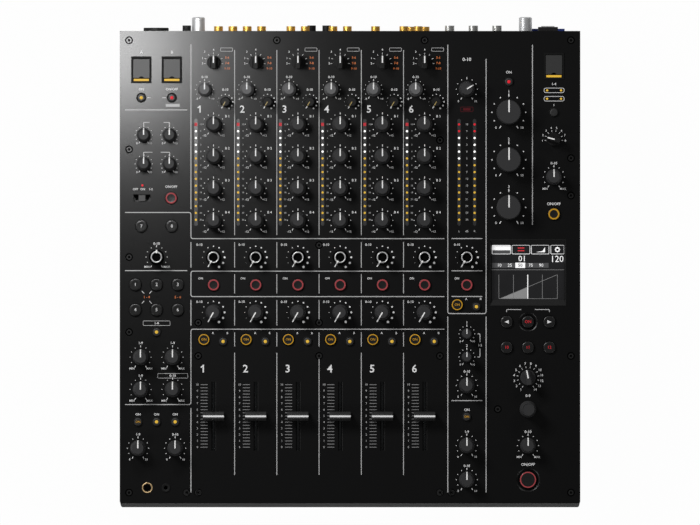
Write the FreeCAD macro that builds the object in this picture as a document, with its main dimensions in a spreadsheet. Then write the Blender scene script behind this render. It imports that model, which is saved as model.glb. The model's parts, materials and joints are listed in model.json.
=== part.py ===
import FreeCAD, Part
import os
import Sketcher

CHANNELS = 6
EQ_BANDS = 4

# Driving sizes in millimetres, grouped by what they set.
SIZES = {
    # panel sections, left to right
    "left_section": 70.2,
    "channel_pitch": 40.8,
    "master_section": 39,
    "right_section": 91,
    # columns inside the sections
    "left_center": 35.6,
    "usb_half": 14.75,
    "mic_half": 12.4,
    "mic_switch_half": 14.1,
    "send_button_half": 20.5,
    "send_knob_half": 15.45,
    "phones_half": 17.95,
    "jack_half": 8.95,
    "trim_shift": 8.6,
    "comp_shift": 11.4,
    "cue_shift": 9.3,
    "meter_shift": 17,
    "master_center": 20.4,
    "master_meter_half": 7.5,
    "isolator_center": 22,
    "multi_center": 65.5,
    "effect_center": 40.5,
    "effect_button_pitch": 20.65,
    # rows of a channel strip, each measured from the one behind it
    "selector_row": 30.4,
    "trim_drop": 26.2,
    "comp_drop": 11.9,
    "eq_drop": 21.6,
    "eq_pitch": 30.95,
    "filter_drop": 35.8,
    "assign_drop": 26.6,
    "send_drop": 26.6,
    "cue_drop": 26.2,
    "cue_stagger": 1.9,
    "fader_drop": 74.1,
    "fader_front": 84.1,
    # rows of the left section
    "usb_row": 37.5,
    "midi_drop": 27,
    "mic_drop": 36,
    "mic_tone_drop": 27.9,
    "mic_switch_drop": 33.1,
    "pass_drop": 27.2,
    "resonance_drop": 29.8,
    "send_button_drop": 26.6,
    "send_button_pitch": 24.4,
    "mix_button_drop": 21.5,
    "send_knob_drop": 24.3,
    "send_knob_pitch": 31.1,
    "phones_button_drop": 31.3,
    "phones_knob_drop": 25.5,
    "jack_drop": 38.2,
    "jack_front": 15,
    # rows of the master column
    "master_row": 56.2,
    "master_cue_drop": 19.2,
    "booth_tone_drop": 28.1,
    "booth_tone_pitch": 22.4,
    "booth_level_drop": 27.5,
    "link_drop": 30.2,
    "link_mix_drop": 27.9,
    "link_level_drop": 33,
    "link_level_front": 22.7,
    # rows of the isolator, multi input and effect sections
    "isolator_button_row": 49.1,
    "isolator_drop": 29.5,
    "isolator_pitch": 46,
    "multi_usb_row": 33.9,
    "mode_drop": 44.8,
    "multi_select_drop": 26,
    "multi_level_drop": 36.5,
    "multi_on_drop": 35.7,
    "display_drop": 62.7,
    "tap_drop": 47.8,
    "band_drop": 24.7,
    "effect_select_drop": 29.2,
    "time_drop": 30.5,
    "depth_drop": 35.2,
    "effect_on_drop": 33,
    "effect_on_front": 22.7,
    # case
    "foot_height": 8,
    "foot_top_radius": 12,
    "foot_base_radius": 10,
    "foot_inset": 34,
    "case_height": 80,
    "panel_thick": 3,
    "panel_corner": 2,
    "wall_thick": 1.2,
    "floor_thick": 1.2,
    "apron_reach": 5,
    "apron_corner": 2,
    "rear_inset": 5,
    "rear_thick": 1.5,
    "rear_flange": 15,
    # boards and supply
    "board_gap": 14,
    "board_thick": 1.6,
    "board_margin": 3,
    "board_rear_margin": 14,
    "pillar_radius": 3,
    "pillar_height": 6,
    "main_board_width": 290,
    "main_board_depth": 110,
    "main_board_left": 14,
    "main_board_rear": 34,
    "pillar_inset": 10,
    "supply_width": 96,
    "supply_depth": 130,
    "supply_height": 34,
    "supply_right": 14,
    "supply_rear": 34,
    # panel screws and stand-offs
    "screw_edge": 9,
    "screw_front": 10.3,
    "strip_screw_inset": 5.6,
    "strip_screw_drop": 15.9,
    "send_screw_drop": 10,
    "filter_screw_rise": 11.8,
    "time_screw_inset": 11.3,
    "screw_radius": 1.5,
    "screw_length": 9,
    "screw_head_radius": 3.1,
    "screw_head_height": 1.7,
    "screw_drive_radius": 1.25,
    "screw_drive_depth": 1.1,
    "screw_sink": 0.3,
    "screw_bore_play": 0.2,
    "screw_well_play": 0.7,
    "standoff_radius": 2.8,
    # knobs
    "knob_gap": 1,
    "knob_edge": 0.6,
    "knob_skirt": 4.5,
    "flute_radius": 1.1,
    "flute_depth": 0.35,
    "pointer_width": 1.1,
    "pointer_depth": 0.4,
    "medium_base": 8.2,
    "medium_neck": 6,
    "medium_top": 5.4,
    "medium_height": 15,
    "small_base": 6.9,
    "small_neck": 5.2,
    "small_top": 4.6,
    "small_height": 14,
    "mini_base": 5.3,
    "mini_neck": 4.6,
    "mini_top": 4.3,
    "mini_height": 12,
    "isolator_base": 12,
    "isolator_neck": 11.7,
    "isolator_top": 11.2,
    "isolator_height": 18,
    "time_base": 8.1,
    "time_neck": 6.9,
    "time_top": 6.4,
    "time_height": 15,
    "filter_base": 7.4,
    "filter_neck": 6.1,
    "filter_top": 5.8,
    "filter_height": 14,
    "filter_dish_radius": 4,
    "filter_dish_depth": 0.6,
    "selector_base": 6.4,
    "selector_height": 13,
    "effect_selector_base": 7.35,
    "effect_selector_height": 14,
    "ridge_top_half": 2.3,
    "ridge_foot_half": 3.5,
    "ridge_foot": 3.5,
    # shafts and potentiometers
    "shaft_radius": 3,
    "shaft_reach": 9,
    "shaft_hole_play": 0.6,
    "shaft_play": 0.05,
    "pot_width": 11,
    "pot_height": 7,
    "pot_neck_radius": 4.3,
    "pot_floor": 1.2,
    # push buttons and their switches
    "button_play": 0.35,
    "button_proud": 2.2,
    "button_edge": 0.5,
    "button_dish": 0.3,
    "button_flange": 1,
    "button_flange_thick": 1,
    "button_flange_gap": 0.3,
    "button_stem_radius": 1.6,
    "button_travel": 1.2,
    "button_lost_motion": 0.3,
    "ring_radius": 5.8,
    "cue_radius": 5.6,
    "lamp_radius": 3.9,
    "round_radius": 5.9,
    "tap_radius": 5.9,
    "effect_radius": 8.2,
    "dish_width": 3,
    "dish_depth": 1.4,
    "switch_width": 6,
    "switch_height": 4,
    # faders
    "fader_travel": 60,
    "fader_slot_play": 0.5,
    "lever_thick": 1.2,
    "lever_width": 4.5,
    "lever_grip": 6,
    "lever_depth": 10,
    "fader_cap_width": 20.6,
    "fader_cap_depth": 8.6,
    "fader_cap_top": 4.6,
    "fader_cap_side": 3,
    "fader_cap_height": 11,
    "fader_cap_gap": 1.5,
    "fader_line_width": 1.7,
    "fader_line_depth": 0.3,
    "fader_unit_width": 12,
    "fader_unit_end": 8,
    # microphone slide switch
    "slider_travel": 4.5,
    "slider_width": 6.4,
    "slider_depth": 5.8,
    "slider_proud": 1.4,
    "slider_play": 0.6,
    "slider_stem": 3,
    "slider_stem_depth": 5,
    "slider_case_end": 3,
    "slider_case_height": 9,
    # display and meters
    "display_width": 69.7,
    "display_depth": 53.1,
    "bezel_side": 2.25,
    "bezel_end": 5.85,
    "bezel_rim": 0.7,
    "bezel_proud": 0.3,
    "bezel_slope": 2.6,
    "bezel_flange": 2.2,
    "bezel_flange_thick": 1.2,
    "bezel_play": 0.2,
    "screen_border": 1.8,
    "screen_thick": 3.5,
    "meter_width": 3.2,
    "meter_length": 103.3,
    "meter_sink": 0.1,
    "meter_play": 0.1,
    "meter_body_width": 6,
    "meter_body_height": 4,
    # usb wells and flaps
    "usb_lip_width": 19.7,
    "usb_lip_length": 25.9,
    "usb_lip_height": 0.6,
    "usb_lip_overlap": 0.8,
    "usb_play": 0.2,
    "usb_well_depth": 13,
    "usb_rear_wall": 1.2,
    "usb_socket_width": 12.4,
    "usb_socket_length": 5.2,
    "usb_socket_depth": 9,
    "flap_width": 15.7,
    "flap_length": 18.5,
    "flap_thick": 1.6,
    "flap_sink": 0.3,
    "flap_play": 0.35,
    "flap_room": 0.5,
    "flap_pin_radius": 0.5,
    "flap_pin_length": 0.8,
    "flap_pin_play": 0.05,
    "flap_notch_radius": 3,
    # headphone sockets
    "phones_ring_proud": 1,
    "phones_neck_play": 0.2,
    "phones_board_play": 1,
    "large_jack_ring": 5.2,
    "large_jack_neck": 4.6,
    "large_jack_body": 7.5,
    "large_jack_bore": 3.2,
    "large_jack_depth": 30,
    "large_jack_floor": 2,
    "small_jack_ring": 4.2,
    "small_jack_neck": 3.4,
    "small_jack_body": 6,
    "small_jack_bore": 1.8,
    "small_jack_depth": 20,
    "small_jack_floor": 3,
    # rear sockets, terminals and posts
    "rear_upper": 66,
    "rear_middle": 51,
    "rear_lower": 35,
    "socket_flange_thick": 1.5,
    "socket_inner": 12,
    "socket_play": 0.1,
    "rca_neck": 4.5,
    "rca_flange": 5.5,
    "rca_sleeve": 4.2,
    "rca_reach": 4.8,
    "rca_bore": 1.65,
    "rca_bore_depth": 8,
    "rca_pitch": 13.9,
    "rca_first_shift": 5,
    "rca_fourth_shift": 6.6,
    "rca_fifth_shift": 13.1,
    "trs_neck": 5,
    "trs_flange": 6.2,
    "trs_sleeve": 4.5,
    "trs_reach": 5.4,
    "trs_bore": 3.2,
    "trs_bore_depth": 20,
    "trs_pitch": 22.9,
    "trs_gap": 15.2,
    "mic_socket_left": 34.8,
    "output_gap": 14.7,
    "output_space": 4.2,
    "xlr_neck": 11.6,
    "xlr_flange": 13.4,
    "xlr_shell": 12,
    "xlr_inside": 9.6,
    "xlr_insert": 8,
    "xlr_groove": 9,
    "mic_reach": 3.3,
    "output_recess": 13,
    "output_floor": 2,
    "output_pin_radius": 1.2,
    "output_pin_length": 8,
    "output_pin_circle": 4,
    "ground_neck": 3,
    "ground_flange": 4.5,
    "ground_head": 4.1,
    "ground_reach": 5.8,
    "ground_gap": 11.7,
    "ground_pitch": 14.5,
    "guard_radius": 6.3,
    "guard_neck": 5,
    "guard_edge": 1,
    "post_reach": 13.9,
    "guard_gap": 0.5,
    # mains inlet and switch
    "power_right": 31,
    "power_gap": 5.8,
    "inlet_level": 29,
    "inlet_width": 28,
    "inlet_height": 22,
    "inlet_flange": 2.5,
    "inlet_flange_thick": 7.8,
    "inlet_inner": 20,
    "inlet_recess_width": 23,
    "inlet_recess_height": 15.5,
    "inlet_recess_depth": 16,
    "blade_width": 2,
    "blade_height": 4,
    "blade_length": 10,
    "blade_pitch": 7,
    "rocker_frame_width": 19,
    "rocker_frame_height": 26,
    "rocker_frame_wall": 2.4,
    "rocker_frame_reach": 9,
    "rocker_play": 0.7,
    "rocker_thick": 6,
    "rocker_tilt": 7,
    "rocker_pin_radius": 1,
    "rocker_pin_length": 1.6,
    "rocker_pin_play": 0.05,
}

# Places worked out from the driving sizes: c_ is a distance from the left edge, d_ from the rear edge.
LAYOUT = {
    "c_strip": "Sizes.left_section + Sizes.channel_pitch / 2",
    "c_master_edge": f"Sizes.left_section + {CHANNELS} * Sizes.channel_pitch",
    "c_master": "c_master_edge + Sizes.master_center",
    "c_right_edge": "c_master_edge + Sizes.master_section",
    "c_isolator": "c_right_edge + Sizes.isolator_center",
    "c_multi": "c_right_edge + Sizes.multi_center",
    "c_effect": "c_right_edge + Sizes.effect_center",
    "case_width": "c_right_edge + Sizes.right_section",
    "c_mic_socket": "Sizes.mic_socket_left",
    "c_ground": "c_mic_socket + Sizes.xlr_flange + Sizes.ground_gap + Sizes.ground_flange",
    "c_guard_left": "c_ground + Sizes.ground_flange + Sizes.guard_gap + Sizes.guard_radius",
    "c_power": "case_width - Sizes.power_right",
    "c_guard_right": "c_power - Sizes.rocker_frame_width / 2 - Sizes.power_gap - Sizes.guard_radius",
    "c_trs_last": "c_guard_right - Sizes.guard_radius - Sizes.trs_gap - Sizes.trs_flange",
    "c_output_last": "c_guard_right - Sizes.guard_radius - Sizes.output_gap - Sizes.xlr_flange",
    "d_selector": "Sizes.selector_row",
    "d_trim": "d_selector + Sizes.trim_drop",
    "d_comp": "d_trim + Sizes.comp_drop",
    "d_eq": "d_comp + Sizes.eq_drop",
    "d_eq_low": f"d_eq + {EQ_BANDS - 1} * Sizes.eq_pitch",
    "d_meter": "(d_eq + d_eq_low) / 2",
    "d_filter": "d_eq_low + Sizes.filter_drop",
    "d_assign": "d_filter + Sizes.assign_drop",
    "d_send": "d_assign + Sizes.send_drop",
    "d_cue": "d_send + Sizes.cue_drop",
    "d_cue_b": "d_cue + Sizes.cue_stagger",
    "d_fader": "d_cue + Sizes.fader_drop",
    "d_usb": "Sizes.usb_row",
    "d_midi": "d_usb + Sizes.midi_drop",
    "d_mic": "d_midi + Sizes.mic_drop",
    "d_mic_tone": "d_mic + Sizes.mic_tone_drop",
    "d_mic_switch": "d_mic_tone + Sizes.mic_switch_drop",
    "d_pass": "d_mic_switch + Sizes.pass_drop",
    "d_resonance": "d_pass + Sizes.resonance_drop",
    "d_send_button": "d_resonance + Sizes.send_button_drop",
    "d_send_button_low": "d_send_button + Sizes.send_button_pitch",
    "d_mix_button": "d_send_button_low + Sizes.mix_button_drop",
    "d_send_knob": "d_mix_button + Sizes.send_knob_drop",
    "d_send_knob_low": "d_send_knob + Sizes.send_knob_pitch",
    "d_phones_button": "d_send_knob_low + Sizes.phones_button_drop",
    "d_phones_knob": "d_phones_button + Sizes.phones_knob_drop",
    "d_jack": "d_phones_knob + Sizes.jack_drop",
    "d_master": "Sizes.master_row",
    "d_master_cue": "d_assign + Sizes.master_cue_drop",
    "d_master_cue_b": "d_master_cue + Sizes.cue_stagger",
    "d_booth_tone": "d_master_cue + Sizes.booth_tone_drop",
    "d_booth_tone_low": "d_booth_tone + Sizes.booth_tone_pitch",
    "d_booth_level": "d_booth_tone_low + Sizes.booth_level_drop",
    "d_link": "d_booth_level + Sizes.link_drop",
    "d_link_mix": "d_link + Sizes.link_mix_drop",
    "d_link_level": "d_link_mix + Sizes.link_level_drop",
    "d_isolator_button": "Sizes.isolator_button_row",
    "d_isolator": "d_isolator_button + Sizes.isolator_drop",
    "d_multi_usb": "Sizes.multi_usb_row",
    "d_mode": "d_multi_usb + Sizes.mode_drop",
    "d_multi_select": "d_mode + Sizes.multi_select_drop",
    "d_multi_level": "d_multi_select + Sizes.multi_level_drop",
    "d_multi_on": "d_multi_level + Sizes.multi_on_drop",
    "d_display": "d_isolator + 2 * Sizes.isolator_pitch + Sizes.display_drop",
    "d_tap": "d_display + Sizes.tap_drop",
    "d_band": "d_tap + Sizes.band_drop",
    "d_effect_select": "d_band + Sizes.effect_select_drop",
    "d_time": "d_effect_select + Sizes.time_drop",
    "d_depth": "d_time + Sizes.depth_drop",
    "d_effect_on": "d_depth + Sizes.effect_on_drop",
    "panel_depth": "max(d_fader + Sizes.fader_front; d_jack + Sizes.jack_front;"
                   " d_link_level + Sizes.link_level_front; d_effect_on + Sizes.effect_on_front)",
    "left_edge": "-case_width / 2",
    "rear_edge": "(panel_depth + Sizes.apron_reach - Sizes.post_reach) / 2",
    "front_edge": "rear_edge - panel_depth",
    "rear_face": "rear_edge - Sizes.rear_inset",
    "panel_top": "Sizes.foot_height + Sizes.case_height",
    "panel_under": "panel_top - Sizes.panel_thick",
    "floor_top": "Sizes.foot_height + Sizes.floor_thick",
    "board_drop": "Sizes.panel_thick + Sizes.board_gap",
}

FLUTES = {"medium": 12, "small": 12, "mini": 10, "isolator": 24, "time": 20, "filter": 12}
MINIMUM = -150
BUTTON_KINDS = ("ring", "cue", "lamp", "round", "tap", "effect")
KNOB_KINDS = ("medium", "small", "mini", "isolator", "time", "filter", "selector", "effect_selector")
DISHED_KINDS = ("tap", "effect")

doc = FreeCAD.newDocument("dj_mixer")


def fill_sheet(name, cells):
    """A sheet with one row per value: its name in column A, its value in column B."""
    sheet = doc.addObject("Spreadsheet::Sheet", name)
    for row, (alias, content) in enumerate(cells.items(), 1):
        sheet.set(f"A{row}", alias)
        sheet.set(f"B{row}", content)
        sheet.setAlias(f"B{row}", alias)
    doc.recompute()
    return sheet


fill_sheet("Sizes", {alias: str(number) for alias, number in SIZES.items()})
layout = fill_sheet("Layout", {alias: "=" + formula for alias, formula in LAYOUT.items()})


def value(expression):
    return float(layout.evalExpression(expression))


def bind(thing, **expressions):
    """Bind properties of an object to expressions; a double underscore stands for a dot."""
    for path, expression in expressions.items():
        thing.setExpression(path.replace("__", "."), expression)
    return thing


def place(thing, x="0", y="0", z="0"):
    return bind(thing, Placement__Base__x=x, Placement__Base__y=y, Placement__Base__z=z)


def across(column):
    return f"Layout.left_edge + {column}"


def back(row):
    return f"Layout.rear_edge - ({row})"


# Sketches and features.


def new_body(name):
    return doc.addObject("PartDesign::Body", name)


def new_sketch(body, name, plane, offset="0"):
    sketch = body.newObject("Sketcher::SketchObject", name)
    support = [item for item in body.Origin.OriginFeatures if item.Role == plane][0]
    sketch.AttachmentSupport = [(support, "")]
    sketch.MapMode = "FlatFace"
    if offset != "0":
        sketch.setExpression("AttachmentOffset.Base.z", offset)
    return sketch


def pin_point(sketch, shape, point, x, y):
    """Hold one point of a sketch at two expressions measured from the sketch origin."""
    for kind, expression, axis in (("DistanceX", x, -2), ("DistanceY", y, -1)):
        if expression == "0":
            sketch.addConstraint(Sketcher.Constraint("PointOnObject", shape, point, axis))
            continue
        index = sketch.addConstraint(Sketcher.Constraint(kind, -1, 1, shape, point, value(expression)))
        sketch.setExpression(f"Constraints[{index}]", expression)


def draw_polygons(sketch, polygons):
    for corners in polygons:
        points = [FreeCAD.Vector(value(x), value(y), 0) for x, y in corners]
        ends = points[1:] + points[:1]
        lines = sketch.addGeometry([Part.LineSegment(a, b) for a, b in zip(points, ends)], False)
        following = lines[1:] + lines[:1]
        joins = [Sketcher.Constraint("Coincident", a, 2, b, 1) for a, b in zip(lines, following)]
        sketch.addConstraint(joins)
        for line, (x, y) in zip(lines, corners):
            pin_point(sketch, line, 1, x, y)
    return sketch


def draw_circles(sketch, centers, radius):
    normal = FreeCAD.Vector(0, 0, 1)
    circles = []
    for x, y in centers:
        center = FreeCAD.Vector(value(x), value(y), 0)
        circle = sketch.addGeometry(Part.Circle(center, normal, value(radius)), False)
        pin_point(sketch, circle, 3, x, y)
        circles.append(circle)
    index = sketch.addConstraint(Sketcher.Constraint("Radius", circles[0], value(radius)))
    sketch.setExpression(f"Constraints[{index}]", radius)
    for circle in circles[1:]:
        sketch.addConstraint(Sketcher.Constraint("Equal", circles[0], circle))
    return sketch


def rectangle(width, length, x="0", y="0"):
    """Corners of a rectangle about a middle point, as expressions."""
    left, right = f"{x} - ({width}) / 2", f"{x} + ({width}) / 2"
    low, high = f"{y} - ({length}) / 2", f"{y} + ({length}) / 2"
    return [(left, low), (right, low), (right, high), (left, high)]


def pad(body, sketch, length, symmetric=False, reverse=False):
    feature = body.newObject("PartDesign::Pad", sketch.Name + "_pad")
    feature.Profile = sketch
    feature.SideType = "Symmetric" if symmetric else "One side"
    feature.Reversed = reverse
    return bind(feature, Length=length)


def pocket(body, sketch, length=None, symmetric=False, reverse=False):
    """Cut a sketch away: to a length, or right through both ways when none is given."""
    feature = body.newObject("PartDesign::Pocket", sketch.Name + "_pocket")
    feature.Profile = sketch
    feature.Reversed = reverse
    if length is None:
        feature.Type = "ThroughAll"
        feature.SideType = "Symmetric"
        return feature
    feature.SideType = "Symmetric" if symmetric else "One side"
    return bind(feature, Length=length)


def turned(name, profile):
    """A body turned about its own Z axis from a profile of radius and height."""
    body = new_body(name)
    sketch = draw_polygons(new_sketch(body, name + "_profile", "XZ_Plane"), [profile])
    feature = body.newObject("PartDesign::Revolution", name + "_turn")
    feature.Profile = sketch
    feature.ReferenceAxis = (sketch, ["V_Axis"])
    return body


SAME_PLACE = 0.01


def corner_fillet(body, radius, front_only=False):
    """Round the upright edges at the corners of a body's last feature."""
    doc.recompute()
    feature = body.Tip
    box = feature.Shape.BoundBox
    names = []
    for number, edge in enumerate(feature.Shape.Edges, 1):
        middle = edge.CenterOfMass
        upright = box.ZLength - edge.BoundBox.ZLength < SAME_PLACE
        outer = min(middle.x - box.XMin, box.XMax - middle.x) < SAME_PLACE
        if upright and outer and not (front_only and middle.y > box.Center.y):
            names.append(f"Edge{number}")
    fillet = body.newObject("PartDesign::Fillet", body.Name + "_corners")
    fillet.Base = (feature, names)
    return bind(fillet, Radius=radius)


# Simple solids, each placed about its middle in x and y.


def box(name, width, depth, height, x="0", y="0", z="0"):
    solid = doc.addObject("Part::Box", name)
    bind(solid, Length=width, Width=depth, Height=height)
    return place(solid, f"{x} - ({width}) / 2", f"{y} - ({depth}) / 2", z)


def cylinder(name, radius, height, x="0", y="0", z="0", along=None):
    solid = doc.addObject("Part::Cylinder", name)
    bind(solid, Radius=radius, Height=height)
    if along:
        solid.Placement.Rotation = FreeCAD.Rotation(FreeCAD.Vector(0, 0, 1), along)
    return place(solid, x, y, z)


def fuse(name, solids):
    joined = doc.addObject("Part::MultiFuse", name)
    joined.Shapes = solids
    return joined


def cut(name, solid, tool):
    remaining = doc.addObject("Part::Cut", name)
    remaining.Base = solid
    remaining.Tool = tool
    return remaining


def copy_of(solid, x, y, z, turn=0, axis=(0, 0, 1)):
    """A placed copy of a master solid, turned about one axis first."""
    link = doc.addObject("App::Link", solid.Name + "_copy")
    link.LinkedObject = solid
    link.LinkTransform = True
    if turn:
        link.Placement = FreeCAD.Placement(FreeCAD.Vector(), FreeCAD.Rotation(FreeCAD.Vector(*axis), turn))
    return place(link, x, y, z)


NODES = {}


def node(name, *things):
    """A sub-part: one object, or a group of separate solids under one label."""
    part = things[0]
    if len(things) > 1 or part.TypeId == "App::Link":
        part = doc.addObject("Part::Compound", name)
        part.Links = list(things)
    part.Label = name
    NODES[name] = part
    return part


# Every control: the node it belongs to, its kind, its place and where its pointer stands at rest.
CONTROLS = []
MASTER_REST = 58
MULTI_REST = -75
EFFECT_REST = -11.5


def control(owner, kind, column, row, turn=0):
    CONTROLS.append((owner, kind, f"({column})", f"({row})", turn))


def left(half):
    return f"Sizes.left_center - Sizes.{half}"


def right(half):
    return f"Sizes.left_center + Sizes.{half}"


def strip(channel, shift=""):
    return f"Layout.c_strip + {channel} * Sizes.channel_pitch {shift}"


def channel_controls(channel):
    def owner(single, group):
        return f"channel_1_{single}_knob" if channel == 0 else group

    control(owner("selector", "selector_knobs"), "selector", strip(channel), "Layout.d_selector")
    control(owner("trim", "small_knobs"), "small", strip(channel, "- Sizes.trim_shift"), "Layout.d_trim")
    comp_column = strip(channel, "+ Sizes.comp_shift")
    control(owner("comp", "mini_knobs"), "mini", comp_column, "Layout.d_comp", MINIMUM)
    for band, name in enumerate(("hi", "hi_mid", "low_mid", "low")):
        row = f"Layout.d_eq + {band} * Sizes.eq_pitch"
        control(owner(name, "medium_knobs"), "medium", strip(channel), row)
    control(owner("filter", "filter_knobs"), "filter", strip(channel), "Layout.d_filter", MINIMUM)
    control("ring_buttons", "ring", strip(channel), "Layout.d_assign")
    control(owner("send", "medium_knobs"), "medium", strip(channel), "Layout.d_send", MINIMUM)
    control("cue_buttons", "cue", strip(channel, "- Sizes.cue_shift"), "Layout.d_cue")
    control("lamp_buttons", "lamp", strip(channel, "+ Sizes.cue_shift"), "Layout.d_cue_b")


for number in range(CHANNELS):
    channel_controls(number)

for side in (left, right):
    control("lamp_buttons", "lamp", side("usb_half"), "Layout.d_midi")
    control("small_knobs", "small", side("mic_half"), "Layout.d_mic")
    control("small_knobs", "small", side("mic_half"), "Layout.d_mic_tone")
    control("round_buttons", "round", side("usb_half"), "Layout.d_pass")
    for row in ("Layout.d_send_button", "Layout.d_send_button_low"):
        control("round_buttons", "round", side("send_button_half"), row)
    for row in ("Layout.d_send_knob", "Layout.d_send_knob_low"):
        control("medium_knobs", "medium", side("send_knob_half"), row)
    control("lamp_buttons", "lamp", side("phones_half"), "Layout.d_phones_button")
    control("medium_knobs", "medium", side("phones_half"), "Layout.d_phones_knob")

control("ring_buttons", "ring", right("mic_switch_half"), "Layout.d_mic_switch")
control("filter_knobs", "filter", "Sizes.left_center", "Layout.d_resonance")
for row in ("Layout.d_send_button", "Layout.d_send_button_low"):
    control("round_buttons", "round", "Sizes.left_center", row)
for row in ("Layout.d_mix_button", "Layout.d_phones_button"):
    control("lamp_buttons", "lamp", "Sizes.left_center", row)

control("master_level_knob", "medium", "Layout.c_master", "Layout.d_master", MASTER_REST)
control("filter_knobs", "filter", "Layout.c_master", "Layout.d_filter", MINIMUM)
control("ring_buttons", "ring", "Layout.c_master", "Layout.d_assign")
control("cue_buttons", "cue", "Layout.c_master - Sizes.cue_shift", "Layout.d_master_cue")
control("lamp_buttons", "lamp", "Layout.c_master + Sizes.cue_shift", "Layout.d_master_cue_b")
for row in ("Layout.d_booth_tone", "Layout.d_booth_tone_low"):
    control("mini_knobs", "mini", "Layout.c_master", row)
for row in ("Layout.d_booth_level", "Layout.d_link_mix", "Layout.d_link_level"):
    control("medium_knobs", "medium", "Layout.c_master", row)
control("lamp_buttons", "lamp", "Layout.c_master", "Layout.d_link")

control("lamp_buttons", "lamp", "Layout.c_isolator", "Layout.d_isolator_button")
for band, name in enumerate(("hi", "mid", "low")):
    row = f"Layout.d_isolator + {band} * Sizes.isolator_pitch"
    control(f"isolator_{name}_knob", "isolator", "Layout.c_isolator", row)

control("lamp_buttons", "lamp", "Layout.c_multi", "Layout.d_mode")
control("multi_channel_knob", "selector", "Layout.c_multi", "Layout.d_multi_select", MULTI_REST)
control("medium_knobs", "medium", "Layout.c_multi", "Layout.d_multi_level")
control("ring_buttons", "ring", "Layout.c_multi", "Layout.d_multi_on")

for step in (-1, 1):
    column = f"Layout.c_effect + {step} * Sizes.effect_button_pitch"
    control("round_buttons", "round", column, "Layout.d_tap")
    control("round_buttons", "round", column, "Layout.d_band")
control("round_buttons", "round", "Layout.c_effect", "Layout.d_band")
control("tap_button", "tap", "Layout.c_effect", "Layout.d_tap")
control("effect_selector_knob", "effect_selector", "Layout.c_effect", "Layout.d_effect_select", EFFECT_REST)
control("effect_time_knob", "time", "Layout.c_effect", "Layout.d_time")
control("effect_depth_knob", "medium", "Layout.c_effect", "Layout.d_depth")
control("effect_on_button", "effect", "Layout.c_effect", "Layout.d_effect_on")

FADER_COLUMNS = [strip(number) for number in range(CHANNELS)]
METER_COLUMNS = [strip(number, "- Sizes.meter_shift") for number in range(CHANNELS)]
METER_COLUMNS += [f"Layout.c_master {sign} Sizes.master_meter_half" for sign in "-+"]
USB_PLACES = {
    "left": (left("usb_half"), "Layout.d_usb"),
    "middle": (right("usb_half"), "Layout.d_usb"),
    "right": ("Layout.c_multi", "Layout.d_multi_usb"),
}
SLIDER_PLACE = (left("mic_switch_half"), "Layout.d_mic_switch")
JACK_PLACES = {"large": (left("jack_half"), "Layout.d_jack"), "small": (right("jack_half"), "Layout.d_jack")}
DISPLAY_PLACE = ("Layout.c_effect", "Layout.d_display")

# Panel screws: the rear row goes into the rear panel's flange, the rest into stand-offs.
EDGES = ("Sizes.screw_edge", "Layout.case_width - Sizes.screw_edge")
MIDDLE_STRIP = f"Sizes.left_section + {CHANNELS // 2} * Sizes.channel_pitch"
STRIP_SCREW = "Sizes.strip_screw_inset"
FRONT_ROW = "Layout.panel_depth - Sizes.screw_front"
CUE_ROW = "Layout.d_cue + Sizes.strip_screw_drop"
SEND_ROW = "Layout.d_send + Sizes.send_screw_drop"
REAR_SCREWS = [
    (EDGES[0], "Sizes.screw_edge"),
    ("Sizes.left_section + 2 * Sizes.channel_pitch", "Sizes.screw_edge"),
    (strip(CHANNELS - 1), "Sizes.screw_edge"),
    (EDGES[1], "Sizes.screw_edge"),
]
BOARD_SCREWS = [
    (EDGES[0], "(Layout.d_mic + Layout.d_mic_tone) / 2"),
    (EDGES[0], "Layout.d_resonance"),
    (EDGES[0], "Layout.d_mix_button"),
    (EDGES[1], "(Layout.d_multi_select + Layout.d_multi_level) / 2"),
    (EDGES[1], "(Layout.d_multi_level + Layout.d_multi_on) / 2"),
    (EDGES[1], CUE_ROW),
    (MIDDLE_STRIP, "Layout.d_filter - Sizes.filter_screw_rise"),
    ("Layout.c_right_edge + Sizes.time_screw_inset", "Layout.d_time"),
    (f"Layout.c_master_edge - {STRIP_SCREW}", "Layout.d_eq + Sizes.eq_pitch / 2"),
    (f"Layout.c_master_edge - {STRIP_SCREW}", CUE_ROW),
    (f"Sizes.left_section + {STRIP_SCREW}", CUE_ROW),
    (MIDDLE_STRIP, CUE_ROW),
    (f"Sizes.left_section + {STRIP_SCREW}", SEND_ROW),
    (MIDDLE_STRIP, SEND_ROW),
    (EDGES[0], FRONT_ROW),
    (f"Sizes.left_section - {STRIP_SCREW}", FRONT_ROW),
    (f"Sizes.left_section + {STRIP_SCREW}", FRONT_ROW),
    (f"Layout.c_master_edge - {STRIP_SCREW}", FRONT_ROW),
    (f"Layout.c_master_edge + {STRIP_SCREW}", FRONT_ROW),
    (EDGES[1], FRONT_ROW),
]


def on_panel(places):
    return [(across(f"({column})"), back(row)) for column, row in places]


def places_of(kinds):
    return [(column, row) for owner, kind, column, row, turn in CONTROLS if kind in kinds]


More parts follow.
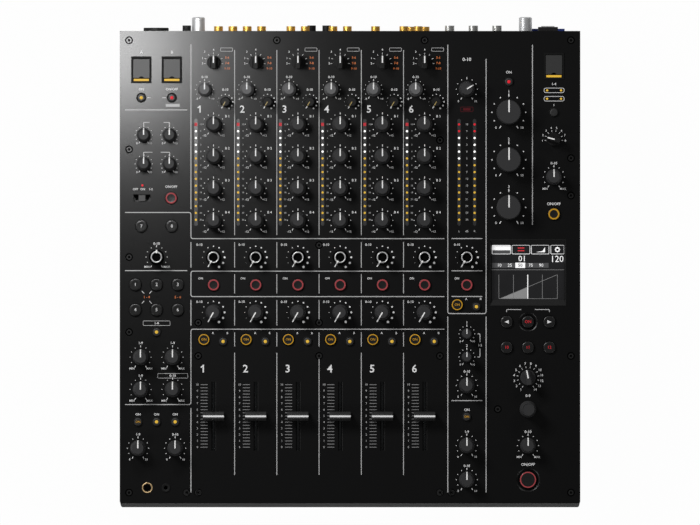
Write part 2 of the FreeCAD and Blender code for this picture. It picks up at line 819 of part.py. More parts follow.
# Top panel: a plate with a hole for every control, socket, meter, fader and screw.
SLOT_LENGTH = "Sizes.fader_travel + Sizes.lever_width + 2 * Sizes.fader_slot_play"
SLOT_WIDTH = "Sizes.lever_thick + 2 * Sizes.fader_slot_play"
METER_STRAIGHT = "Sizes.meter_length - Sizes.meter_width"
SLIDER_SLOT_WIDTH = "Sizes.slider_width + 2 * Sizes.slider_travel + 2 * Sizes.slider_play"
SLIDER_SLOT_DEPTH = "Sizes.slider_depth + 2 * Sizes.slider_play"
USB_BODY_WIDTH = "Sizes.usb_lip_width - 2 * Sizes.usb_lip_overlap"
USB_BODY_LENGTH = "Sizes.usb_lip_length - 2 * Sizes.usb_lip_overlap"
BEZEL_WIDTH = "Sizes.display_width + 2 * Sizes.bezel_side"
BEZEL_DEPTH = "Sizes.display_depth + 2 * Sizes.bezel_end"
CUT_HEIGHT = "3 * Sizes.panel_thick"
CUT_FOOT = "-2 * Sizes.panel_thick"

plate = new_body("panel_plate")
outline = new_sketch(plate, "panel_outline", "XY_Plane", "Layout.panel_top")
PANEL_MIDDLE = "(Layout.rear_edge + Layout.front_edge) / 2"
draw_polygons(outline, [rectangle("Layout.case_width", "Layout.panel_depth", y=PANEL_MIDDLE)])
pad(plate, outline, "Sizes.panel_thick", reverse=True)
corner_fillet(plate, "Sizes.panel_corner")
panel_cuts = []


def cut_panel(tool, places):
    panel_cuts.extend(copy_of(tool, x, y, "Layout.panel_top") for x, y in on_panel(places))


def drill(name, radius):
    return cylinder(name, radius, CUT_HEIGHT, z=CUT_FOOT)


def window(name, width, length):
    return box(name, width, length, CUT_HEIGHT, z=CUT_FOOT)


def round_ended(name, width, straight, height, foot):
    """A long solid with half-round ends, along y."""
    parts = [box(f"{name}_middle", width, straight, height, z=foot)]
    for sign in ("-", "1 * "):
        parts.append(cylinder(f"{name}_end", f"({width}) / 2", height, y=f"{sign}({straight}) / 2", z=foot))
    return parts


cut_panel(drill("shaft_hole", "Sizes.shaft_radius + Sizes.shaft_hole_play"), places_of(KNOB_KINDS))
for kind in BUTTON_KINDS:
    hole_radius = f"Sizes.{kind}_radius + Sizes.button_play"
    hole = drill(f"{kind}_hole", hole_radius)
    if kind in DISHED_KINDS:
        dish = doc.addObject("Part::Cone", f"{kind}_dish")
        bind(dish, Radius1=hole_radius, Radius2=f"{hole_radius} + Sizes.dish_width")
        bind(dish, Height="Sizes.dish_depth")
        hole = fuse(f"{kind}_dished_hole", [hole, place(dish, z="-Sizes.dish_depth")])
    cut_panel(hole, places_of([kind]))
screw_bore = drill("screw_bore", "Sizes.screw_radius + Sizes.screw_bore_play")
screw_well = cylinder(
    "screw_well", "Sizes.screw_head_radius + Sizes.screw_well_play", CUT_HEIGHT,
    z="-Sizes.screw_head_height - Sizes.screw_sink")
cut_panel(fuse("screw_hole", [screw_bore, screw_well]), REAR_SCREWS + BOARD_SCREWS)
for size, spot in JACK_PLACES.items():
    cut_panel(drill(f"{size}_jack_hole", f"Sizes.{size}_jack_neck + Sizes.phones_neck_play"), [spot])
cut_panel(window("fader_slot", SLOT_WIDTH, SLOT_LENGTH), [(c, "Layout.d_fader") for c in FADER_COLUMNS])
METER_SLOT = "Sizes.meter_width + 2 * Sizes.meter_play"
meter_slot = fuse("meter_slot", round_ended("slot", METER_SLOT, METER_STRAIGHT, CUT_HEIGHT, CUT_FOOT))
cut_panel(meter_slot, [(column, "Layout.d_meter") for column in METER_COLUMNS])
cut_panel(window("slider_slot", SLIDER_SLOT_WIDTH, SLIDER_SLOT_DEPTH), [SLIDER_PLACE])
usb_window = window(
    "usb_window", f"{USB_BODY_WIDTH} + 2 * Sizes.usb_play", f"{USB_BODY_LENGTH} + 2 * Sizes.usb_play")
cut_panel(usb_window, USB_PLACES.values())
display_window = window(
    "display_window", f"{BEZEL_WIDTH} + 2 * Sizes.bezel_play", f"{BEZEL_DEPTH} + 2 * Sizes.bezel_play")
cut_panel(display_window, [DISPLAY_PLACE])
openings = doc.addObject("Part::Compound", "panel_openings")
openings.Links = panel_cuts
node("top_panel", cut("top_panel", plate, openings))

# Case tray: floor, side walls and the raked front, open at the top and rear.
tray = new_body("case_tray")
side_view = new_sketch(tray, "tray_side", "YZ_Plane")
APRON_FOOT = "Layout.front_edge - Sizes.apron_reach"
draw_polygons(side_view, [[
    (APRON_FOOT, "Sizes.foot_height"),
    ("Layout.rear_edge", "Sizes.foot_height"),
    ("Layout.rear_edge", "Layout.panel_under"),
    ("Layout.front_edge", "Layout.panel_under"),
]])
pad(tray, side_view, "Layout.case_width", symmetric=True)
corner_fillet(tray, "Sizes.apron_corner", front_only=True)
hollow = new_sketch(tray, "tray_hollow", "YZ_Plane")
draw_polygons(hollow, [[
    (f"{APRON_FOOT} + Sizes.wall_thick", "Layout.floor_top"),
    ("Layout.rear_edge", "Layout.floor_top"),
    ("Layout.rear_edge", "Layout.panel_under"),
    ("Layout.front_edge + Sizes.wall_thick", "Layout.panel_under"),
]])
pocket(tray, hollow, "Layout.case_width - 2 * Sizes.wall_thick", symmetric=True)
node("case_tray", tray)

# Rear panel: an upright plate with a flange under the top panel, holed for the sockets.
RCA_BLOCKS = [
    (f"({strip(0)} + {strip(1)}) / 2 + Sizes.rca_first_shift", (-1.5, -0.5, 0.5, 1.5)),
    (strip(2), (-0.5, 0.5)),
    (strip(3), (-0.5, 0.5)),
    (strip(4, "- Sizes.rca_fourth_shift"), (0,)),
    (strip(5, "- Sizes.rca_fifth_shift"), (-0.5, 0.5)),
]
RCA_UPPER = [f"{middle} + {step} * Sizes.rca_pitch" for middle, steps in RCA_BLOCKS for step in steps]
RCA_LOWER = [f"{column} + Sizes.rca_pitch / 2" if "fifth" in column else column for column in RCA_UPPER]
REAR_PLACES = {
    "rca": [(c, "Sizes.rear_upper") for c in RCA_UPPER] + [(c, "Sizes.rear_lower") for c in RCA_LOWER],
    "trs": [(f"Layout.c_trs_last - {n} * Sizes.trs_pitch", "Sizes.rear_upper") for n in range(3)],
    "mic": [("Layout.c_mic_socket", level) for level in ("Sizes.rear_upper", "Sizes.rear_lower")],
    "output": [
        (f"Layout.c_output_last - {n} * (2 * Sizes.xlr_flange + Sizes.output_space)", "Sizes.rear_lower")
        for n in range(2)
    ],
    "ground": [("Layout.c_ground", "Sizes.rear_middle")] + [
        (f"{MIDDLE_STRIP} {sign} Sizes.ground_pitch / 2", "Sizes.rear_middle") for sign in "-+"
    ],
    "guard": [("Layout.c_guard_left", "Sizes.rear_middle"), ("Layout.c_guard_right", "Sizes.rear_middle")],
}
REAR_NECKS = {
    "rca": "Sizes.rca_neck", "trs": "Sizes.trs_neck", "mic": "Sizes.xlr_neck",
    "output": "Sizes.xlr_neck", "ground": "Sizes.ground_neck", "guard": "Sizes.guard_neck",
}
POWER_COLUMN = across("Layout.c_power")
INLET_LEVEL = "Sizes.inlet_level"
ROCKER_LEVEL = "Sizes.rear_upper"
ROCKER_HOLE_WIDTH = "Sizes.rocker_frame_width - 2 * Sizes.rocker_frame_wall"
ROCKER_HOLE_HEIGHT = "Sizes.rocker_frame_height - 2 * Sizes.rocker_frame_wall"

rear = new_body("rear_panel")
INNER_WIDTH = "Layout.case_width - 2 * Sizes.wall_thick"
REAR_HEIGHT = "Layout.panel_under - Layout.floor_top"
REAR_MIDDLE = "(Layout.panel_under + Layout.floor_top) / 2"


def rear_sketch(name):
    return new_sketch(rear, name, "XZ_Plane", "-Layout.rear_face")


rear_plate = draw_polygons(rear_sketch("rear_plate"), [rectangle(INNER_WIDTH, REAR_HEIGHT, y=REAR_MIDDLE)])
pad(rear, rear_plate, "Sizes.rear_thick")
flange = new_sketch(rear, "rear_flange", "XY_Plane", "Layout.panel_under")
FLANGE_MIDDLE = "Layout.rear_face - Sizes.rear_flange / 2"
draw_polygons(flange, [rectangle(INNER_WIDTH, "Sizes.rear_flange", y=FLANGE_MIDDLE)])
pad(rear, flange, "Sizes.rear_thick", reverse=True)
for kind, spots in REAR_PLACES.items():
    holes = draw_circles(
        rear_sketch(f"{kind}_holes"), [(across(column), level) for column, level in spots],
        f"{REAR_NECKS[kind]} + Sizes.socket_play",
    )
    pocket(rear, holes, "2 * Sizes.rear_thick", symmetric=True)
power_cuts = draw_polygons(rear_sketch("power_windows"), [
    rectangle("Sizes.inlet_width", "Sizes.inlet_height", POWER_COLUMN, INLET_LEVEL),
    rectangle(
        "Sizes.rocker_frame_width", "Sizes.rocker_frame_height", POWER_COLUMN, ROCKER_LEVEL),
])
pocket(rear, power_cuts, "2 * Sizes.rear_thick", symmetric=True)
flange_holes = new_sketch(rear, "flange_holes", "XY_Plane", "Layout.panel_under")
draw_circles(flange_holes, on_panel(REAR_SCREWS), "Sizes.screw_radius")
pocket(rear, flange_holes, "2 * Sizes.rear_thick", symmetric=True)
node("rear_panel", rear)

# Rubber feet under the four corners.
foot = turned("foot", [
    ("0", "0"),
    ("Sizes.foot_base_radius", "0"),
    ("Sizes.foot_top_radius", "Sizes.foot_height"),
    ("0", "Sizes.foot_height"),
])
FOOT_COLUMNS = ("Sizes.foot_inset", "Layout.case_width - Sizes.foot_inset")
FOOT_ROWS = ("Sizes.foot_inset", "Layout.panel_depth - Sizes.foot_inset")
node("rubber_feet", *[
    copy_of(foot, across(column), back(row), "0") for column in FOOT_COLUMNS for row in FOOT_ROWS
])

# Panel screws with socket heads, and the stand-offs that they hold.
HEAD_TOP = "-Sizes.screw_sink"
HEAD_SEAT = "-Sizes.screw_sink - Sizes.screw_head_height"
SCREW_TIP = f"{HEAD_SEAT} - Sizes.screw_length"
DRIVE_FLOOR = "-Sizes.screw_sink - Sizes.screw_drive_depth"
screw = turned("panel_screw", [
    ("0", SCREW_TIP),
    ("Sizes.screw_radius", SCREW_TIP),
    ("Sizes.screw_radius", HEAD_SEAT),
    ("Sizes.screw_head_radius", HEAD_SEAT),
    ("Sizes.screw_head_radius", HEAD_TOP),
    ("Sizes.screw_drive_radius", HEAD_TOP),
    ("Sizes.screw_drive_radius", DRIVE_FLOOR),
    ("0", DRIVE_FLOOR),
])
node("panel_screws", *[
    copy_of(screw, x, y, "Layout.panel_top") for x, y in on_panel(REAR_SCREWS + BOARD_SCREWS)
])
standoff = turned("standoff", [
    ("Sizes.screw_radius", "-Layout.board_drop"),
    ("Sizes.standoff_radius", "-Layout.board_drop"),
    ("Sizes.standoff_radius", "-Sizes.panel_thick"),
    ("Sizes.screw_radius", "-Sizes.panel_thick"),
])
node("board_standoffs", *[
    copy_of(standoff, x, y, "Layout.panel_top") for x, y in on_panel(BOARD_SCREWS)
])

# Knobs: a cap on a metal shaft. Heights are measured from the top of the panel.
shaft = turned("knob_shaft", [
    ("0", "-Layout.board_drop + Sizes.pot_floor"),
    ("Sizes.shaft_radius", "-Layout.board_drop + Sizes.pot_floor"),
    ("Sizes.shaft_radius", "Sizes.shaft_reach"),
    ("0", "Sizes.shaft_reach"),
])


def shaft_socket():
    return [("0", "Sizes.shaft_reach"), ("Sizes.shaft_radius", "Sizes.shaft_reach")]


def cut_pointer(body, name, reach, top):
    """A groove for the pointer line, from the middle of the cap's top outwards."""
    groove = new_sketch(body, f"{name}_pointer", "XY_Plane", top)
    draw_polygons(groove, [rectangle("Sizes.pointer_width", reach, y=f"({reach}) / 2")])
    pocket(body, groove, "Sizes.pointer_depth")


def grip_knob(name, pointed=True):
    """A cap with a flared skirt and a fluted grip."""
    base, neck, top = (f"Sizes.{name}_{part}" for part in ("base", "neck", "top"))
    cap_top = f"Sizes.knob_gap + Sizes.{name}_height"
    skirt_top = "Sizes.knob_gap + Sizes.knob_skirt"
    profile = [
        ("Sizes.shaft_radius", "Sizes.knob_gap"),
        (base, "Sizes.knob_gap"),
        (neck, skirt_top),
        (top, f"{cap_top} - Sizes.knob_edge"),
        (f"{top} - Sizes.knob_edge", cap_top),
    ]
    if name == "filter":
        dish_floor = f"{cap_top} - Sizes.filter_dish_depth"
        profile += [("Sizes.filter_dish_radius", cap_top), ("Sizes.filter_dish_radius", dish_floor)]
        profile += [("0", dish_floor)]
    else:
        profile += [("0", cap_top)]
    body = turned(f"{name}_knob", profile + shaft_socket())
    flute = new_sketch(body, f"{name}_flute", "XY_Plane", skirt_top)
    reach = f"{neck} + Sizes.flute_radius - Sizes.flute_depth"
    draw_circles(flute, [("0", reach)], "Sizes.flute_radius")
    groove = pocket(body, flute, f"Sizes.{name}_height", reverse=True)
    doc.recompute()
    pattern = body.newObject("PartDesign::PolarPattern", f"{name}_flutes")
    pattern.Originals = [groove]
    pattern.Axis = (flute, ["N_Axis"])
    pattern.Occurrences = FLUTES[name]
    body.Tip = pattern
    if pointed:
        cut_pointer(body, name, neck, cap_top)
    return body


def ridge_knob(name):
    """A round cap cut away on both sides to leave a ridge to hold."""
    base = f"Sizes.{name}_base"
    cap_top = f"Sizes.knob_gap + Sizes.{name}_height"
    profile = [
        ("Sizes.shaft_radius", "Sizes.knob_gap"),
        (base, "Sizes.knob_gap"),
        (base, f"{cap_top} - Sizes.knob_edge"),
        (f"{base} - Sizes.knob_edge", cap_top),
        ("0", cap_top),
    ]
    body = turned(f"{name}_knob", profile + shaft_socket())
    flanks = new_sketch(body, f"{name}_flanks", "XZ_Plane")
    foot_level = "Sizes.knob_gap + Sizes.ridge_foot"
    draw_polygons(flanks, [
        [
            (f"{sign}Sizes.ridge_foot_half", foot_level),
            (f"{sign}({base} + Sizes.knob_edge)", foot_level),
            (f"{sign}({base} + Sizes.knob_edge)", cap_top),
            (f"{sign}Sizes.ridge_top_half", cap_top),
        ]
        for sign in ("-", "1 * ")
    ])
    pocket(body, flanks, f"3 * {base}", symmetric=True)
    cut_pointer(body, name, base, cap_top)
    return body


MASTERS = {name: grip_knob(name, pointed=name != "time") for name in FLUTES}
for name in ("selector", "effect_selector"):
    MASTERS[name] = ridge_knob(name)

# Push buttons: a cap through the panel, a flange that stops it from below, and a stem to its switch.
SWITCH_TOP = "-Layout.board_drop + Sizes.switch_height"
STEM_FOOT = f"{SWITCH_TOP} + Sizes.button_travel + Sizes.button_lost_motion"
FLANGE_TOP = "-Sizes.panel_thick - Sizes.button_flange_gap"
FLANGE_FOOT = f"{FLANGE_TOP} - Sizes.button_flange_thick"
for kind in BUTTON_KINDS:
    RADIUS = f"Sizes.{kind}_radius"
    MASTERS[kind] = turned(f"{kind}_button", [
        ("0", STEM_FOOT),
        ("Sizes.button_stem_radius", STEM_FOOT),
        ("Sizes.button_stem_radius", FLANGE_FOOT),
        (f"{RADIUS} + Sizes.button_flange", FLANGE_FOOT),
        (f"{RADIUS} + Sizes.button_flange", FLANGE_TOP),
        (RADIUS, FLANGE_TOP),
        (RADIUS, "Sizes.button_proud - Sizes.button_edge"),
        (f"{RADIUS} - Sizes.button_edge", "Sizes.button_proud"),
        ("0", "Sizes.button_proud - Sizes.button_dish"),
    ])

groups = {}
for owner, kind, column, row, turn in CONTROLS:
    solids = groups.setdefault(owner, [])
    solids.append(copy_of(MASTERS[kind], across(column), back(row), "Layout.panel_top", -turn))
    if kind in KNOB_KINDS:
        solids.append(copy_of(shaft, across(column), back(row), "Layout.panel_top"))
for owner, solids in groups.items():
    node(owner, *solids)

# Control board under the panel, with a potentiometer for each knob and a switch for each button.
POT_TOP = "-Layout.board_drop + Sizes.pot_height"
pot_case = box("pot_case", "Sizes.pot_width", "Sizes.pot_width", "Sizes.pot_height", z="-Layout.board_drop")
pot_neck = cylinder(
    "pot_neck", "Sizes.pot_neck_radius", "Sizes.board_gap - Sizes.pot_height", z=POT_TOP)
pot_bore = cylinder(
    "pot_bore", "Sizes.shaft_radius + Sizes.shaft_play", "Sizes.board_gap",
    z="-Layout.board_drop + Sizes.pot_floor - Sizes.shaft_play",
)
pot = cut("potentiometer", fuse("pot_outside", [pot_case, pot_neck]), pot_bore)
push_switch = box(
    "push_switch", "Sizes.switch_width", "Sizes.switch_width", "Sizes.switch_height", z="-Layout.board_drop")

BOARD_TOP = "Layout.panel_top - Layout.board_drop"
BOARD_REAR = "Layout.rear_face - Sizes.board_rear_margin"
BOARD_FRONT = "Layout.front_edge + Sizes.wall_thick + Sizes.board_margin"
BOARD_WIDTH = f"{INNER_WIDTH} - 2 * Sizes.board_margin"
board = new_body("control_board_sheet")
board_outline = new_sketch(board, "board_outline", "XY_Plane", BOARD_TOP)
draw_polygons(board_outline, [rectangle(
    BOARD_WIDTH, f"{BOARD_REAR} - ({BOARD_FRONT})", y=f"({BOARD_REAR} + {BOARD_FRONT}) / 2")])
pad(board, board_outline, "Sizes.board_thick", reverse=True)
for size, spot in JACK_PLACES.items():
    opening = new_sketch(board, f"{size}_jack_opening", "XY_Plane", BOARD_TOP)
    draw_circles(opening, on_panel([spot]), f"Sizes.{size}_jack_body + Sizes.phones_board_play")
    pocket(board, opening)

SLIDER_CASE_WIDTH = f"{SLIDER_SLOT_WIDTH} + 2 * Sizes.slider_case_end"
SLIDER_CASE_DEPTH = f"{SLIDER_SLOT_DEPTH} + 2 * Sizes.slider_play"
SLIDER_CASE_TOP = "-Layout.board_drop + Sizes.slider_case_height"
slider_block = box(
    "slider_block", SLIDER_CASE_WIDTH, SLIDER_CASE_DEPTH, "Sizes.slider_case_height", z="-Layout.board_drop")
slider_track = box(
    "slider_track", "Sizes.slider_stem + 2 * Sizes.slider_travel + 2 * Sizes.slider_play",
    "Sizes.slider_stem + 2 * Sizes.slider_play", "Sizes.slider_stem_depth + Sizes.slider_play",
    z=f"{SLIDER_CASE_TOP} - Sizes.slider_stem_depth - Sizes.slider_play",
)
slider_case = cut("slide_switch_case", slider_block, slider_track)
board_parts = [board]
for owner, kind, column, row, turn in CONTROLS:
    source = pot if kind in KNOB_KINDS else push_switch
    board_parts.append(copy_of(source, across(column), back(row), "Layout.panel_top"))
SLIDER_X, SLIDER_Y = on_panel([SLIDER_PLACE])[0]
board_parts.append(copy_of(slider_case, SLIDER_X, SLIDER_Y, "Layout.panel_top"))
node("control_board", *board_parts)

# Slide switch handle for the microphone, in the middle of its three positions.
SLIDER_FOOT = f"{SLIDER_CASE_TOP} + Sizes.slider_play"
slider_handle = box(
    "slider_handle", "Sizes.slider_width", "Sizes.slider_depth",
    f"Sizes.slider_proud - ({SLIDER_FOOT})", z=SLIDER_FOOT)
slider_stem = box(
    "slider_stem", "Sizes.slider_stem", "Sizes.slider_stem", "Sizes.slider_stem_depth + Sizes.slider_play",
    z=f"{SLIDER_CASE_TOP} - Sizes.slider_stem_depth")
slider = fuse("slider", [slider_handle, slider_stem])
node("mic_switch_slider", copy_of(slider, SLIDER_X, SLIDER_Y, "Layout.panel_top"))

# Faders: a slide potentiometer under the panel, and a lever with a cap that runs along its slot.
fader_case = box(
    "fader_case", "Sizes.fader_unit_width", f"{SLOT_LENGTH} + 2 * Sizes.fader_unit_end",
    "Sizes.board_gap", z="-Layout.board_drop")
LEVER_FOOT = "-Sizes.panel_thick - Sizes.lever_depth"
fader_track = box(
    "fader_track", SLOT_WIDTH, SLOT_LENGTH, "Sizes.lever_depth + Sizes.fader_slot_play",
    z=f"{LEVER_FOOT} - Sizes.fader_slot_play")
fader_unit = cut("fader_unit", fader_case, fader_track)
lever = box(
    "fader_lever", "Sizes.lever_thick", "Sizes.lever_width",
    "Sizes.panel_thick + Sizes.lever_depth + Sizes.fader_cap_gap + Sizes.lever_grip", z=LEVER_FOOT)
cap = new_body("fader_cap")
cap_side = new_sketch(cap, "cap_side", "YZ_Plane")
CAP_TOP = "Sizes.fader_cap_gap + Sizes.fader_cap_height"
CAP_SIDE = "Sizes.fader_cap_gap + Sizes.fader_cap_side"
draw_polygons(cap_side, [[
    ("-Sizes.fader_cap_depth / 2", "Sizes.fader_cap_gap"),
    ("Sizes.fader_cap_depth / 2", "Sizes.fader_cap_gap"),
    ("Sizes.fader_cap_depth / 2", CAP_SIDE),
    ("Sizes.fader_cap_top / 2", CAP_TOP),
    ("-Sizes.fader_cap_top / 2", CAP_TOP),
    ("-Sizes.fader_cap_depth / 2", CAP_SIDE),
]])
pad(cap, cap_side, "Sizes.fader_cap_width", symmetric=True)
lever_hole = new_sketch(cap, "lever_hole", "XY_Plane", "Sizes.fader_cap_gap")
draw_polygons(lever_hole, [rectangle("Sizes.lever_thick", "Sizes.lever_width")])
pocket(cap, lever_hole, "Sizes.lever_grip", reverse=True)
cap_line = new_sketch(cap, "cap_line", "XY_Plane", CAP_TOP)
draw_polygons(cap_line, [rectangle("Sizes.fader_cap_width", "Sizes.fader_line_width")])
pocket(cap, cap_line, "Sizes.fader_line_depth")
fader_places = on_panel([(column, "Layout.d_fader") for column in FADER_COLUMNS])
node("fader_units", *[copy_of(fader_unit, x, y, "Layout.panel_top") for x, y in fader_places])
for number, (x, y) in enumerate(fader_places, 1):
    pieces = [copy_of(piece, x, y, "Layout.panel_top") for piece in (cap, lever)]
    node(f"channel_{number}_fader", *pieces)

# Display: a sunk bezel held from below by its flange, and the screen under it.
DISPLAY_X, DISPLAY_Y = on_panel([DISPLAY_PLACE])[0]
BEZEL_FOOT = "-Sizes.panel_thick - Sizes.bezel_flange_thick"
bezel = new_body("bezel")
bezel_block = new_sketch(bezel, "bezel_block", "XY_Plane", BEZEL_FOOT)
draw_polygons(bezel_block, [rectangle(BEZEL_WIDTH, BEZEL_DEPTH)])
pad(bezel, bezel_block, f"Sizes.bezel_proud - ({BEZEL_FOOT})")
bezel_rim = new_sketch(bezel, "bezel_flange", "XY_Plane", BEZEL_FOOT)
draw_polygons(bezel_rim, [rectangle(
    f"{BEZEL_WIDTH} + 2 * Sizes.bezel_flange", f"{BEZEL_DEPTH} + 2 * Sizes.bezel_flange")])
pad(bezel, bezel_rim, "Sizes.bezel_flange_thick")
SCREEN_SHAPE = rectangle("Sizes.display_width", "Sizes.display_depth")
mouth = new_sketch(bezel, "bezel_mouth", "XY_Plane", "Sizes.bezel_proud")
draw_polygons(mouth, [rectangle(
    f"{BEZEL_WIDTH} - 2 * Sizes.bezel_rim", f"{BEZEL_DEPTH} - 2 * Sizes.bezel_rim")])
throat = new_sketch(bezel, "bezel_throat", "XY_Plane", "Sizes.bezel_proud - Sizes.bezel_slope")
draw_polygons(throat, [SCREEN_SHAPE])
slope = bezel.newObject("PartDesign::SubtractiveLoft", "bezel_slope")
slope.Profile = mouth
slope.Sections = [(throat, [""])]
sight = new_sketch(bezel, "bezel_sight", "XY_Plane", "Sizes.bezel_proud - Sizes.bezel_slope")
draw_polygons(sight, [SCREEN_SHAPE])
pocket(bezel, sight, "Sizes.panel_thick + Sizes.bezel_flange_thick")
node("display_bezel", copy_of(bezel, DISPLAY_X, DISPLAY_Y, "Layout.panel_top"))
SCREEN_WIDTH = "Sizes.display_width + 2 * Sizes.screen_border"
SCREEN_DEPTH = "Sizes.display_depth + 2 * Sizes.screen_border"
screen = box(
    "screen", SCREEN_WIDTH, SCREEN_DEPTH, "Sizes.screen_thick", z=f"{BEZEL_FOOT} - Sizes.screen_thick")
node("display_screen", copy_of(screen, DISPLAY_X, DISPLAY_Y, "Layout.panel_top"))

# Level meters: a round-ended lens in the panel on a light guide below it.
METER_HEIGHT = "Sizes.panel_thick - Sizes.meter_sink"
lens_parts = round_ended("lens", "Sizes.meter_width", METER_STRAIGHT, METER_HEIGHT, "-Sizes.panel_thick")
GUIDE_LENGTH = "Sizes.meter_length + Sizes.meter_width"
lens_parts.append(box(
    "light_guide", "Sizes.meter_body_width", GUIDE_LENGTH, "Sizes.meter_body_height",
    z="-Sizes.panel_thick - Sizes.meter_body_height"))
meter = fuse("level_meter", lens_parts)
node("level_meters", *[
    copy_of(meter, x, y, "Layout.panel_top")
    for x, y in on_panel([(column, "Layout.d_meter") for column in METER_COLUMNS])
])

# USB wells: a frame with a hinged flap, standing on a block with the socket in it.
FLAP_TOP = "Sizes.usb_lip_height - Sizes.flap_sink"
FLAP_AXIS_Z = f"{FLAP_TOP} - Sizes.flap_thick / 2"
POCKET_REAR = f"({USB_BODY_LENGTH}) / 2 - Sizes.usb_rear_wall"
POCKET_LENGTH = "Sizes.flap_length + 2 * Sizes.flap_play"
POCKET_WIDTH = "Sizes.flap_width + 2 * Sizes.flap_play"
POCKET_MIDDLE = f"{POCKET_REAR} - ({POCKET_LENGTH}) / 2"
POCKET_DEPTH = "Sizes.flap_sink + Sizes.flap_thick + Sizes.flap_room"
FLAP_AXIS_Y = f"{POCKET_REAR} - Sizes.flap_play - Sizes.flap_thick / 2"
POCKET_FLOOR = f"Sizes.usb_lip_height - ({POCKET_DEPTH})"
well = new_body("usb_well")
well_walls = new_sketch(well, "well_walls", "XY_Plane", POCKET_FLOOR)
draw_polygons(well_walls, [rectangle(USB_BODY_WIDTH, USB_BODY_LENGTH)])
pad(well, well_walls, POCKET_DEPTH)
well_lip = draw_polygons(
    new_sketch(well, "well_lip", "XY_Plane"), [rectangle("Sizes.usb_lip_width", "Sizes.usb_lip_length")])
pad(well, well_lip, "Sizes.usb_lip_height")
flap_pocket = new_sketch(well, "flap_pocket", "XY_Plane")
draw_polygons(flap_pocket, [rectangle(POCKET_WIDTH, POCKET_LENGTH, y=POCKET_MIDDLE)])
pocket(well, flap_pocket)
hinge_hole = new_sketch(well, "hinge_hole", "YZ_Plane")
draw_circles(hinge_hole, [(FLAP_AXIS_Y, FLAP_AXIS_Z)], "Sizes.flap_pin_radius + Sizes.flap_pin_play")
PIN_SPAN = "Sizes.flap_width + 2 * Sizes.flap_pin_length"
pocket(well, hinge_hole, f"{PIN_SPAN} + 2 * Sizes.flap_pin_play", symmetric=True)
socket_block = new_body("usb_socket_block")
socket_outside = new_sketch(socket_block, "socket_outside", "XY_Plane", "-Sizes.usb_well_depth")
draw_polygons(socket_outside, [rectangle(USB_BODY_WIDTH, USB_BODY_LENGTH)])
pad(socket_block, socket_outside, f"Sizes.usb_well_depth + {POCKET_FLOOR}")
socket_hole = new_sketch(socket_block, "usb_socket", "XY_Plane", POCKET_FLOOR)
draw_polygons(socket_hole, [
    rectangle("Sizes.usb_socket_width", "Sizes.usb_socket_length", y=POCKET_MIDDLE)])
pocket(socket_block, socket_hole, "Sizes.usb_socket_depth")

ALONG_X = FreeCAD.Vector(1, 0, 0)
FLAP_PLATE = "Sizes.flap_length - Sizes.flap_thick / 2"
flap_plate = box(
    "flap_plate", "Sizes.flap_width", FLAP_PLATE, "Sizes.flap_thick",
    y=f"-({FLAP_PLATE}) / 2", z="-Sizes.flap_thick / 2")
flap_barrel = cylinder(
    "flap_barrel", "Sizes.flap_thick / 2", "Sizes.flap_width", x="-Sizes.flap_width / 2", along=ALONG_X)
flap_pin = cylinder("flap_pin", "Sizes.flap_pin_radius", PIN_SPAN, x=f"-({PIN_SPAN}) / 2", along=ALONG_X)
flap_notch = cylinder(
    "flap_notch", "Sizes.flap_notch_radius", "2 * Sizes.flap_thick",
    y=f"-({FLAP_PLATE}) - Sizes.flap_notch_radius / 2", z="-Sizes.flap_thick")
flap = cut("usb_flap", fuse("flap_outside", [flap_plate, flap_barrel, flap_pin]), flap_notch)
wells = []
for side, spot in USB_PLACES.items():
    x, y = on_panel([spot])[0]
    wells += [copy_of(solid, x, y, "Layout.panel_top") for solid in (well, socket_block)]
    node(f"usb_flap_{side}", copy_of(flap, x, f"{y} + {FLAP_AXIS_Y}", f"Layout.panel_top + {FLAP_AXIS_Z}"))
node("usb_ports", *wells)

# Headphone sockets: a ring on the panel, a barrel below it and a bore for the plug.
jacks = []
for size, spot in JACK_PLACES.items():
    ring, neck, barrel, bore = (f"Sizes.{size}_jack_{part}" for part in ("ring", "neck", "body", "bore"))
    foot_level = f"-Sizes.{size}_jack_depth"
    bore_floor = f"{foot_level} + Sizes.{size}_jack_floor"
    jack = turned(f"{size}_jack", [
        ("0", foot_level),
        (barrel, foot_level),
        (barrel, "-Sizes.panel_thick"),
        (neck, "-Sizes.panel_thick"),
        (neck, "0"),
        (ring, "0"),
        (ring, "Sizes.phones_ring_proud"),
        (bore, "Sizes.phones_ring_proud"),
        (bore, bore_floor),
        ("0", bore_floor),
    ])
    x, y = on_panel([spot])[0]
    jacks.append(copy_of(jack, x, y, "Layout.panel_top"))
node("headphone_jacks", *jacks)

# Rear sockets, terminals and posts, each turned about the line that it stands out along.
REARWARD = (1, 0, 0)


def at_rear(master, kind):
    return [
        copy_of(master, across(column), "Layout.rear_face", level, -90, REARWARD)
        for column, level in REAR_PLACES[kind]
    ]


def rear_turned(name, neck, flange, tail):
    """A turned rear piece: a neck through the panel, a flange on its face and the given tail."""
    return turned(name, [
        ("0", "-Sizes.socket_inner"),
        (neck, "-Sizes.socket_inner"),
        (neck, "0"),
        (flange, "0"),
        (flange, "Sizes.socket_flange_thick"),
    ] + tail)


def sleeve_tail(name):
    sleeve, bore = f"Sizes.{name}_sleeve", f"Sizes.{name}_bore"
    mouth_level = f"Sizes.rear_inset + Sizes.{name}_reach"
    bore_floor = f"{mouth_level} - Sizes.{name}_bore_depth"
    return [
        (sleeve, "Sizes.socket_flange_thick"), (sleeve, mouth_level),
        (bore, mouth_level), (bore, bore_floor), ("0", bore_floor),
    ]


